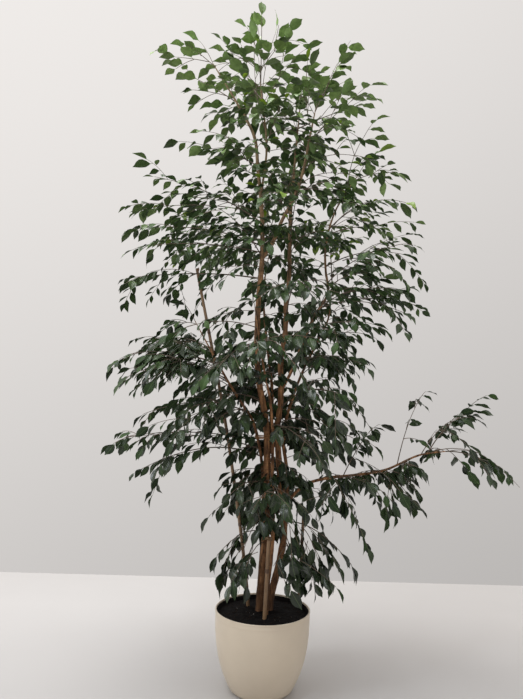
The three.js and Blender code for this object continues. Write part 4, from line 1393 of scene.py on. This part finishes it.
def grown_leaf(root, heading, side, hang, *keys):
    """A leaf that grows from a place on a shoot, to one side of it, or at its tip for no side."""
    def wobble(number):
        return chance(*keys, number) - 0.5

    level = poise(root)
    across = heading.cross(UP).normalized()
    outward = Vector((root.x, root.y, 0)).normalized()
    along = heading * (SIDE_ALONG if side else TIP_ALONG)
    along = along + across * (LEAF_ASIDE + STRAY_ASIDE * wobble(8)) * side + LEAF_OUT * outward
    stray = (STRAY[0] * wobble(2), STRAY[1] * wobble(10), STRAY[2] * wobble(1))
    along += Vector((stray[0], stray[1], -LEAF_DOWN - LEAF_HANG * hang + stray[2]))
    turn = Vector((wobble(3), wobble(4), 0.3 * wobble(9)))
    face = blend(*FACE_UP, level) * UP + FACE_OUT * (1 - level) * outward
    face += blend(*FACE_LOOSE, level) * turn + upright_turn(along)
    low = clamp((LOW_LEAVES[0] - root.z) / LOW_LEAVES[1], 0, 1)
    high = clamp((root.z - HIGH_LEAVES[0]) / HIGH_LEAVES[1], 0, 1)
    size = clamp(SIZE + SIZE_LOW * low + SIZE_HIGH * high + SIZE_STRAY * wobble(5), 0, 1)
    leaf = bpy.context.scene.fig_leaf
    length = blend(leaf.shortest, leaf.longest, size)
    breadth = blend(*BREADTHS, high) * (1 + BREADTH_STRAY * wobble(6))
    style = int(len(LEAF_STYLES) * chance(*keys, 7))
    return Leaf(root, along, face, length, breadth, tint_with_painted_light(root, *keys), style)


YOUNG_LENGTH = (0.034, 0.055)
YOUNG_BREADTH = 0.8
YOUNG_STYLE = 2


def young_leaf(root, heading, *keys):
    """A small lime leaf at the tip of a growing shoot."""
    along = heading + Vector((0.5 * (chance(*keys, 1) - 0.5), 0.5 * (chance(*keys, 2) - 0.5), 0.1))
    face = UP + 0.8 * (chance(*keys, 3) - 0.5) * heading.cross(UP)
    length = blend(*YOUNG_LENGTH, chance(*keys, 4))
    return Leaf(root, along, face, length, YOUNG_BREADTH, YOUNG_TINT, YOUNG_STYLE)


# Leafy branches

TWIG_FOOT = 0.0024
TWIG_THICKENING = 0.0045
TWIG_STRETCH = 0.17  # between the corners of a packed twig
OVERHANG = 0.065  # how far the last leaves pass the twig
LIFTS = (0, 0.025, -0.025, 0.06)
SWAYS = (0, 0.035, -0.035, 0.07, -0.07, 0.11, -0.11, 0.15, -0.15)
TRIED_AT = (0.3, 0.5, 0.7, 0.97)  # the shares of a twig at which it is held against its solid

# How thick a branch's first twig, its forks and its side twigs are, as shares.
THICKNESS = (1, 0.8, 0.7)
FIRST_FORK = 0.22
FORK_SPACING = 0.16
FORK_ARCH = 0.6

# Side twigs: one for so much of a twig's length, but at least one and at most three; where they leave
# it, how they are turned aside and up, and how long they are.
SPRAY_EVERY = 0.42
SPRAYS = (1, 3)
SPRAY_FROM = 0.34
SPRAY_RANGE = 0.5
SPRAY_TURN = (42, 16)  # degrees, and how many more there may be
SPRAY_RISE = 0.35
SPRAY_HANG = 0.2
SPRAY_REACH = (0.11, 0.26)
SPRAY_ARCH = 0.1

Twig = namedtuple("Twig", "route foot_radius stretches")


def solid_of(node):
    """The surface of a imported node, to measure distances to."""
    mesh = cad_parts[node].data
    faces = [tuple(face.vertices) for face in mesh.polygons]
    return BVHTree.FromPolygons([vertex.co for vertex in mesh.vertices], faces)


def apart(surface, point):
    """How far a point is from a surface."""
    return surface.find_nearest(point)[3]


def packed_twig(surface, foot, tip, arch, thick):
    """The twig between two places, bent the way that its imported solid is."""
    chosen, least = None, math.inf
    for lift in LIFTS:
        for sway in SWAYS:
            route = bent(foot, tip, arch + lift, sway)
            radius = thick * (TWIG_FOOT + TWIG_THICKENING * route.length)
            twig = Twig(route, radius, max(1, round(route.length / TWIG_STRETCH)))
            spots = (route.on_stretch(share, twig.stretches) for share in TRIED_AT)
            error = max(apart(surface, spot) for spot in spots)
            if error < least:
                chosen, least = twig, error
    return chosen


def short_of(foot, place):
    """Where a twig ends whose last leaves reach a place."""
    reach = place - foot
    return foot + reach * (1 - OVERHANG / reach.length)


def foot_on(limb, at):
    """Where a branch leaves its limb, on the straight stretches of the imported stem."""
    axis = 0 if limb in READ_ALONG_X else 2
    return LIMB_ROUTES[limb].whence(axis, at, LIMBS[limb][1])[1]


def spray_ends(twig, seed, hang):
    """The feet and tips of the side twigs that a twig bears, left and right in turn."""
    count = clamp(round(twig.route.length / SPRAY_EVERY), *SPRAYS)
    for k in range(count):
        share = SPRAY_FROM + SPRAY_RANGE * (k + 0.3 * chance(seed, k, 1)) / count
        foot = twig.route.on_stretch(share, twig.stretches)
        turn = math.radians(SPRAY_TURN[0] + SPRAY_TURN[1] * chance(seed, k, 2))
        heading = Matrix.Rotation(turn if k % 2 else -turn, 3, "Z") @ twig.route.heading(share)
        heading.z += SPRAY_RISE * (chance(seed, k, 3) - 0.35) - SPRAY_HANG * hang
        reach = clamp(twig.route.length * 0.42 * (1.15 - 0.6 * share), *SPRAY_REACH)
        yield foot, foot + reach * heading.normalized(), SPRAY_ARCH * reach


def twigs_of(branch, seed, surface):
    """The main twig with its forks, and the side twigs, as they are packed."""
    limb, at, arch, hang, *tips = BRANCHES[branch]
    first, *others = [Vector(tip) for tip in tips]
    foot = foot_on(limb, at)
    arms = [packed_twig(surface, foot, short_of(foot, first), arch, THICKNESS[0])]
    for k, tip in enumerate(others):
        fork = arms[0].route.on_stretch(FIRST_FORK + FORK_SPACING * k, arms[0].stretches)
        arms.append(packed_twig(surface, fork, short_of(fork, tip), FORK_ARCH * arch, THICKNESS[1]))
    sprays = []
    for i, arm in enumerate(arms):
        for foot, tip, lift in spray_ends(arm, seed + i, hang):
            sprays.append(packed_twig(surface, foot, tip, lift, THICKNESS[2]))
    return arms, sprays


# Packed leaves: from one to the next, how they are turned to find their solid, and how near it they lie.
PACKED_SPACING = 0.104
PACKED_REACH = (0.084, 0.108)
PACKED_LENGTH = 0.88  # of their solid's
PACKED_BREADTH = 0.95
TURNS = (0, 0.5, -0.5, 0.9, -0.9, 1.4, -1.4)
NEAR_SOLID = 0.006
NEAR_TIP = 0.9


def packed_leaves(surface, twig, start, seed, hang):
    """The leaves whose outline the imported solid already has, each turned the way that its solid is."""
    length = twig.route.length
    count = max(1, round(length * (1 - start) / PACKED_SPACING))
    for k in range(count + 1):
        last = k == count
        share = 1 - 0.001 / length if last else start + (1 - start) * (k + 0.2) / count
        side = 0 if last else (1 if k % 2 else -1)
        keys = (seed + 0.37 * k, share)
        root = twig.route.on_stretch(share, twig.stretches)
        tangent = twig.route.heading(share)
        across = tangent.cross(UP).normalized()
        outward = Vector((root.x, root.y, 0)).normalized()
        reach = blend(*PACKED_REACH, chance(*keys, 5))
        for turn in TURNS:
            way = tangent * (0.7 if side else 1.2) + 0.85 * side * across
            way.z -= hang + 0.3 * (chance(*keys, 6) - 0.4)
            swing = Matrix.Rotation(0.35 * (chance(*keys, 7) - 0.5) + turn, 3, "Z")
            along = (swing @ way).normalized()
            face = UP + 0.5 * outward + 0.5 * (chance(*keys, 8) - 0.5) * across + upright_turn(along)
            if apart(surface, root + NEAR_TIP * reach * along) < NEAR_SOLID:
                style = int(len(LEAF_STYLES) * chance(*keys, 9))
                tint = tint_with_painted_light(root, *keys)
                yield Leaf(root, along, face, PACKED_LENGTH * reach, PACKED_BREADTH, tint, style)
                break


SHOOT_SHORTEST = 0.4  # as a share of the longest
SHOOT_ARCH = 0.14
SHOOT_DIVISIONS = 12
SHOOT_DROOP = 0.3
SHOOT_LEVEL = 0.42  # the share of shoots that point down
SHOOT_HANG = 0.2
SHOOT_SPREAD = (1.5, 0.9)  # how far they point up or down, low in the crown and high up


def shoots_of(twig, start, seed, hang, longest, fullness):
    """Fine leafy shoots along a twig, left and right in turn."""
    spacing = bpy.context.scene.fig_leaf.shoot_spacing / fullness
    count = round(twig.route.length * (1 - start) / spacing)
    for k in range(count):
        share = start + (1 - start) * (k + 0.15 + 0.7 * chance(seed, k, 21)) / count
        side = 1 if k % 2 else -1
        foot = twig.route.at(share)
        heading = twig.route.heading(share)
        across = heading.cross(UP).normalized()
        way = 0.75 * heading + side * (0.45 + 0.6 * chance(seed, k, 22)) * across
        rise = blend(*SHOOT_SPREAD, poise(foot)) * (chance(seed, k, 23) - SHOOT_LEVEL)
        way.z += rise - SHOOT_HANG * hang
        reach = longest * blend(SHOOT_SHORTEST, 1, chance(seed, k, 24)) * (1.1 - 0.35 * share)
        yield shoot(foot, way, reach, hang)


def shoot(foot, way, reach, hang):
    """A shoot that rises a little and then droops under its leaves."""
    tip = foot + reach * way.normalized()
    tip.z -= SHOOT_DROOP * hang * reach
    return bent(foot, tip, SHOOT_ARCH * reach, divisions=SHOOT_DIVISIONS)


TOP_FROM = 2.15  # the height from which leaves are further apart, and
TOP_DEPTH = 0.4  # over what height they become so
BARE_DENSITY = 0.45  # how closely leaves follow each other on a branch with hardly any shoots


def leaves_along(route, start, seed, hang, fullness=1.0):
    """Leaves along a shoot from a share of its length on, left and right in turn, and one at its tip."""
    leaf = bpy.context.scene.fig_leaf
    high = clamp((route.at(1.0).z - TOP_FROM) / TOP_DEPTH, 0, 1)
    spacing = blend(leaf.spacing, leaf.top_spacing, high) / blend(BARE_DENSITY, 1, min(1, fullness))
    count = max(1, round(route.length * (1 - start) / spacing))
    for k in range(count):
        share = start + (1 - start) * (k + 0.4 * chance(seed, k, 31)) / count
        side = 1 if k % 2 else -1
        yield grown_leaf(route.at(share), route.heading(share), side, hang, seed, k)
    tip, heading = route.at(1.0), route.heading(1.0)
    if tip.z > YOUNG_ABOVE and chance(seed, 32) < YOUNG_SHARE:
        yield young_leaf(tip, heading, seed, 33)
    else:
        yield grown_leaf(tip, heading, 0, hang, seed, count)


TWIG_RADII = (0.7, 0.001)  # at the foot, as a share of its packed twig's, and at the tip
TWIG_STEP = 0.02
SHOOT_RADII = (0.0014, 0.0008)
SHOOT_STEPS = 6
INNER_RADII = (0.0016, 0.0008)
INNER_STEPS = 7


def stick(route, radii, steps):
    """The points and radii of a twig's tube."""
    shares = [i / steps for i in range(steps + 1)]
    return [route.at(share) for share in shares], [blend(*radii, share) for share in shares], 0


def twig_stick(twig):
    """The points and radii of a packed twig, drawn thinner than its solid."""
    radii = (TWIG_RADII[0] * twig.foot_radius, TWIG_RADII[1])
    return stick(twig.route, radii, max(4, round(twig.route.length / TWIG_STEP)))


def leafy_piece(name, twigs, shoots, leaves):
    """Twigs, fine shoots and leaves in one piece."""
    finishes = foliage_finishes()
    wood = []
    if twigs:
        wood.append(tubes(name + " twigs", twigs, roundness=2, materials=finishes))
    if shoots:
        wood.append(tubes(name + " shoots", shoots, roundness=0, materials=finishes))
    piece = foliage(name, [leaf for leaf in leaves if fits(leaf)], finishes)
    smooth(piece, degrees=70)
    return joined(name, piece, *wood)


# Arms and side twigs: where their leaves start, the step between their seeds, and their longest shoot.
ARM_GROWTH = (0.38, 11, 0.26)
SPRAY_GROWTH = (0.45, 7, 0.15)
SHOOTS_EARLIER = 0.25  # how much nearer the foot the shoots start
SHOOT_LEAVES_FROM = 0.15


def branch_piece(branch, seed):
    """A branch with its packed twigs and leaves, and shoots and leaves between them."""
    surface = solid_of("branch_" + branch)
    hang = BRANCHES[branch][3]
    arms, sprays = twigs_of(branch, seed, surface)
    fullness = FULLNESS.get(branch, 1)
    twigs, shoots, leaves = [], [], []
    for kind, (start, stride, longest) in ((arms, ARM_GROWTH), (sprays, SPRAY_GROWTH)):
        for i, twig in enumerate(kind):
            key = seed + stride * i
            leaves += packed_leaves(surface, twig, start, key, hang)
            leaves += leaves_along(twig.route, start, key + 0.5, hang, fullness)
            twigs.append(twig_stick(twig))
            grown = shoots_of(twig, start - SHOOTS_EARLIER, key + 0.25, hang, longest, fullness)
            for j, route in enumerate(grown):
                if is_clear(route.at(1.0)):
                    shoots.append(stick(route, SHOOT_RADII, SHOOT_STEPS))
                    shoot_key = key + 3.7 * j + 0.11
                    leaves += leaves_along(route, SHOOT_LEAVES_FROM, shoot_key, hang, fullness)
    return leafy_piece("leafy_" + branch, twigs, shoots, leaves)


GOLDEN_TURN = math.radians(137.5)
INNER_LOW = 0.62  # the stems are bare below this height
INNER_FROM = 0.3  # and the long limb on this share of its length
INNER_SPACING = 0.055
INNER_REACH = (0.12, 0.33)
INNER_LEAVES_FROM = 0.3
BARE_FRONT = (0.6, 1.8)  # between these heights the stems show from the front
BARE_SHARE = 0.75  # of the shoots that would hide them
AIRY_ABOVE = 1.95  # the crown lets more light through above this height
AIRY_SHARE = 0.25
SIDE_SHOOTS = 3
SIDE_SHOOTS_AT = (0.35, 0.2)  # the place of the first, and from one to the next
HANG = (1.2, 0.15)  # near the planter and at the top
HANG_FROM = 0.5
HANG_HEIGHT = 2.2


def hang_at(height):
    """How steeply leaves hang at a height: hardly at the top, and straight down near the planter."""
    return blend(*HANG, clamp((height - HANG_FROM) / HANG_HEIGHT, 0, 1))


def bears_none(limb, share, foot, to_front, number, k):
    """Whether a place on a limb stays without a shoot."""
    bare = share < INNER_FROM if limb in READ_ALONG_X else foot.z < INNER_LOW
    shown = to_front and BARE_FRONT[0] < foot.z < BARE_FRONT[1] and chance(number, k, 42) < BARE_SHARE
    airy = foot.z > AIRY_ABOVE and chance(number, k, 46) < AIRY_SHARE
    return bare or shown or airy


def inner_shoots(limb, number):
    """Leafy shoots all round a limb, with smaller ones on each, and how steeply their leaves hang."""
    route = LIMB_ROUTES[limb]
    count = round(route.length / INNER_SPACING)
    for k in range(count):
        share = (k + chance(number, k, 41)) / count
        foot = route.at(share)
        angle = k * GOLDEN_TURN + number
        if bears_none(limb, share, foot, math.sin(angle) < -0.35, number, k):
            continue
        hang = hang_at(foot.z)
        way = Vector((math.cos(angle), math.sin(angle), 0.9 * (chance(number, k, 43) - 0.35)))
        room = min(blend(1, 0.6, share), 0.85 * (foot.z - 0.3))
        reach = blend(*INNER_REACH, chance(number, k, 44)) * room
        main = shoot(foot, way, reach, hang)
        yield main, hang
        for j in range(SIDE_SHOOTS):
            place = SIDE_SHOOTS_AT[0] + SIDE_SHOOTS_AT[1] * j
            heading = main.heading(place)
            across = heading.cross(UP).normalized()
            side_way = 0.7 * heading + (0.8 if j % 2 else -0.8) * across
            side_way.z += 0.8 * (chance(number, k, j, 45) - 0.45)
            yield shoot(main.at(place), side_way, 0.5 * reach * (1.1 - 0.4 * place), hang), hang


BOUGH_THICKENING = 0.6 * TWIG_THICKENING
BOUGH_SWAY = 0.03
BOUGH_GROWTH = (0.25, 0.2, 1.3)  # where its shoots start, the longest of them, and how full it is
BOUGH_END = 0.08


def boughs_of(limb):
    """The boughs that leave a limb, with how steeply their leaves hang."""
    for parent, at, arch, hang, tip in BOUGHS:
        if parent == limb:
            route = bent(foot_on(limb, at), Vector(tip), arch, BOUGH_SWAY)
            yield Twig(route, TWIG_FOOT + BOUGH_THICKENING * route.length, 1), hang


def bough_shoots(limb, number):
    """The shoots along the boughs of a limb and at their ends, and how steeply their leaves hang."""
    start, longest, fullness = BOUGH_GROWTH
    for k, (bough, hang) in enumerate(boughs_of(limb)):
        for route in shoots_of(bough, start, number + 1.7 * k, hang, longest, fullness):
            yield route, hang
        yield shoot(bough.route.at(1.0), bough.route.heading(0.99), BOUGH_END, hang), hang


TERMINAL_REACH = 0.13
TERMINAL_RISE = Vector((0, 0, 0.1))


def terminal_shoot(limb):
    """The leafy shoot that a limb ends in, and how steeply its leaves hang."""
    route = LIMB_ROUTES[limb]
    hang = hang_at(route.at(1.0).z)
    return shoot(route.at(1.0), route.heading(0.99) + TERMINAL_RISE, TERMINAL_REACH, hang), hang


class FIG_OT_inner_growth(bpy.types.Operator):
    """Grows the leafy shoots round the stems and limbs, and the small boughs between the branches"""

    bl_idname = "fig.inner_growth"
    bl_label = "Inner shoots"

    def execute(self, context):
        for number, limb in enumerate(LIMBS):
            shoots = [*inner_shoots(limb, 60 + number), *bough_shoots(limb, 140 + number)]
            shoots.append(terminal_shoot(limb))
            shoots = [(route, hang) for route, hang in shoots if is_clear(route.at(1.0))]
            leaves = []
            for k, (route, hang) in enumerate(shoots):
                leaves += leaves_along(route, INNER_LEAVES_FROM, 90 + number + 0.17 * k, hang)
            sticks = [stick(route, INNER_RADII, INNER_STEPS) for route, _ in shoots]
            twigs = [twig_stick(bough) for bough, _ in boughs_of(limb)]
            piece = leafy_piece("inner_" + limb, twigs, sticks, leaves)
            hand_over(piece, "foliage")
        return {"FINISHED"}


class FIG_OT_branches(bpy.types.Operator):
    """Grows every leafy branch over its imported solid, with shoots and leaves between"""

    bl_idname = "fig.branches"
    bl_label = "Leafy branches"

    def execute(self, context):
        for number, branch in enumerate(BRANCHES):
            piece = branch_piece(branch, number + 1)
            hand_over(piece, "foliage", "branch_" + branch)
        return {"FINISHED"}


# Stage

CAMERA_PLACE = (-0.033, -2.32, 1.07)
CAMERA_PITCH = math.radians(7.66)
CAMERA_ROLL = math.radians(1.52)
FOCAL_LENGTH = 532  # in pixels of the photograph
PHOTO_HEIGHT = 699
SENSOR = 36
CAMERA_FAR = 60
FLOOR_HALF = (2.6, 2.2)
FLOOR_MIDDLE = (0, -0.7, -0.0005)
FLOOR_SHADE = 0.8  # how bright the painted shade leaves the floor in front of the planter, as a share
FLOOR_SHADE_FROM = 0.1  # how far in front
BACKDROP_RISE = 0.48  # how much brighter the backdrop is straight up, as a share
BACKDROP_FALL = 0.23  # how much darker it is to the right
PLANT_MIDDLE = (0, 0, 1.5)

# Soft lights: the place, the size, the setting that has the power with a share of it, and the colour.
LIGHTS = {
    "light above": ((-0.7, -0.2, 5.2), 2.4, "key_power", 1, (1, 1, 1)),
    "light left": ((-3.2, -1.6, 2.8), 1.2, "fill_power", 1, (0.9, 0.95, 1)),
    "light in front": ((-1.1, -2.1, 4.7), 0.35, "glint_power", 1, (0.78, 0.89, 1)),
    "light right": ((3.2, -1.8, 2.0), 2.2, "fill_power", 0.4, (1, 1, 1)),
}


def pale_floor(colour):
    """A plain floor with painted shade, a little darker in front of the planter than behind it."""
    look = Look("pale floor", Roughness=0.45, Specular_IOR_Level=0.25)
    tone = look.shades(look.speckle(scale=2.5, detail=2.0), colour, (0.2, 0.985), (0.8, 1.015))
    depth = look.add("ShaderNodeSeparateXYZ", Vector=look.place).outputs["Y"]
    # Painted shade on the floor in front of the planter.
    near = look.ramp(look.maths("ADD", depth, FLOOR_SHADE_FROM), (0.0, 1.0), (1.0, 0.0))
    look.coloured(look.mixed(near, tone, shade(colour, FLOOR_SHADE)))
    return look.material


def backdrop(colour):
    """A plain surrounding that brightens gently upwards and to the left."""
    world = bpy.data.worlds.new("backdrop")
    world.use_nodes = True
    nodes, links = world.node_tree.nodes, world.node_tree.links
    way = nodes.new("ShaderNodeSeparateXYZ")
    links.new(nodes.new("ShaderNodeTexCoord").outputs["Generated"], way.inputs[0])
    rise, fall = nodes.new("ShaderNodeMath"), nodes.new("ShaderNodeMath")
    for node in (rise, fall):
        node.operation = "MULTIPLY_ADD"
    links.new(way.outputs["Z"], rise.inputs[0])
    rise.inputs[1].default_value = BACKDROP_RISE
    rise.inputs[2].default_value = 1.0
    links.new(way.outputs["X"], fall.inputs[0])
    fall.inputs[1].default_value = -BACKDROP_FALL
    links.new(rise.outputs[0], fall.inputs[2])
    background = nodes["Background"]
    background.inputs["Color"].default_value = (*colour, 1)
    links.new(fall.outputs[0], background.inputs["Strength"])
    return world


def soft_light(name, place, size, power, colour):
    """A square light that faces the middle of the plant."""
    light = bpy.data.lights.new(name, "AREA")
    light.size = size
    light.energy = power
    light.color = colour
    lamp = placed(name, light)
    lamp.location = place
    lamp.rotation_euler = (Vector(PLANT_MIDDLE) - Vector(place)).to_track_quat("-Z", "Y").to_euler()


def aim_camera():
    """Sets the camera where the photograph was taken from, looking a little up and rolled a little."""
    forward = Vector((0, math.cos(CAMERA_PITCH), math.sin(CAMERA_PITCH)))
    up = Vector((0, -math.sin(CAMERA_PITCH), math.cos(CAMERA_PITCH)))
    right = Vector((1, 0, 0))
    tilted_right = math.cos(CAMERA_ROLL) * right + math.sin(CAMERA_ROLL) * up
    tilted_up = math.cos(CAMERA_ROLL) * up - math.sin(CAMERA_ROLL) * right
    data = bpy.data.cameras.new("camera")
    data.lens = SENSOR * FOCAL_LENGTH / PHOTO_HEIGHT
    data.clip_end = CAMERA_FAR
    camera = placed("camera", data)
    turn = Matrix((tilted_right, tilted_up, -forward)).transposed().to_4x4()
    camera.matrix_world = Matrix.Translation(CAMERA_PLACE) @ turn
    bpy.context.scene.camera = camera


class FIG_OT_stage(bpy.types.Operator):
    """Lays the pale floor and sets the backdrop, the soft lights and the camera"""

    bl_idname = "fig.stage"
    bl_label = "Stage"

    def execute(self, context):
        stage = context.scene.fig_stage
        deselect()
        bpy.ops.mesh.primitive_plane_add(size=2, enter_editmode=True)
        bpy.ops.transform.resize(value=(*FLOOR_HALF, 1))
        bpy.ops.transform.translate(value=FLOOR_MIDDLE)
        bpy.ops.object.mode_set(mode="OBJECT")
        floor = context.object
        floor.name = "floor"
        floor.data.materials.append(pale_floor(stage.floor))
        floor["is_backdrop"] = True
        context.scene.world = backdrop(stage.backdrop)
        for name, (place, size, power, share, colour) in LIGHTS.items():
            soft_light(name, place, size, share * getattr(stage, power), colour)
        aim_camera()
        context.scene.view_settings.view_transform = "Standard"
        return {"FINISHED"}


class FIG_PT_panel(bpy.types.Panel):
    """The steps of the weeping fig, in the order in which they are made"""

    bl_idname = "FIG_PT_panel"
    bl_label = "Weeping Fig"
    bl_space_type = "VIEW_3D"
    bl_region_type = "UI"
    bl_category = "Fig"

    def draw(self, context):
        for name, settings in SETTINGS.items():
            group = getattr(context.scene, name)
            box = self.layout.box()
            for setting in settings.__annotations__:
                box.prop(group, setting)
        for step in STEPS:
            self.layout.operator(step.bl_idname)


STEPS = (
    FIG_OT_planter, FIG_OT_soil, FIG_OT_canes, FIG_OT_stems, FIG_OT_tie, FIG_OT_branches,
    FIG_OT_inner_growth, FIG_OT_stage,
)


def register():
    for kind in (*SETTINGS.values(), *STEPS, FIG_PT_panel):
        bpy.utils.register_class(kind)
    for name, settings in SETTINGS.items():
        setattr(bpy.types.Scene, name, bpy.props.PointerProperty(type=settings))


def unregister():
    for name in SETTINGS:
        delattr(bpy.types.Scene, name)
    for kind in reversed((*SETTINGS.values(), *STEPS, FIG_PT_panel)):
        bpy.utils.unregister_class(kind)


def main():
    register()
    bpy.ops.fig.planter()
    bpy.ops.fig.soil()
    bpy.ops.fig.canes()
    bpy.ops.fig.stems()
    bpy.ops.fig.tie()
    bpy.ops.fig.branches()
    bpy.ops.fig.inner_growth()
    bpy.ops.fig.stage()
    sizes = {"cad": CAD_BOX, "visual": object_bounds()}
    lists = {name: [list(corner) for corner in box] for name, box in sizes.items()}


if __name__ == "__main__":
    main()
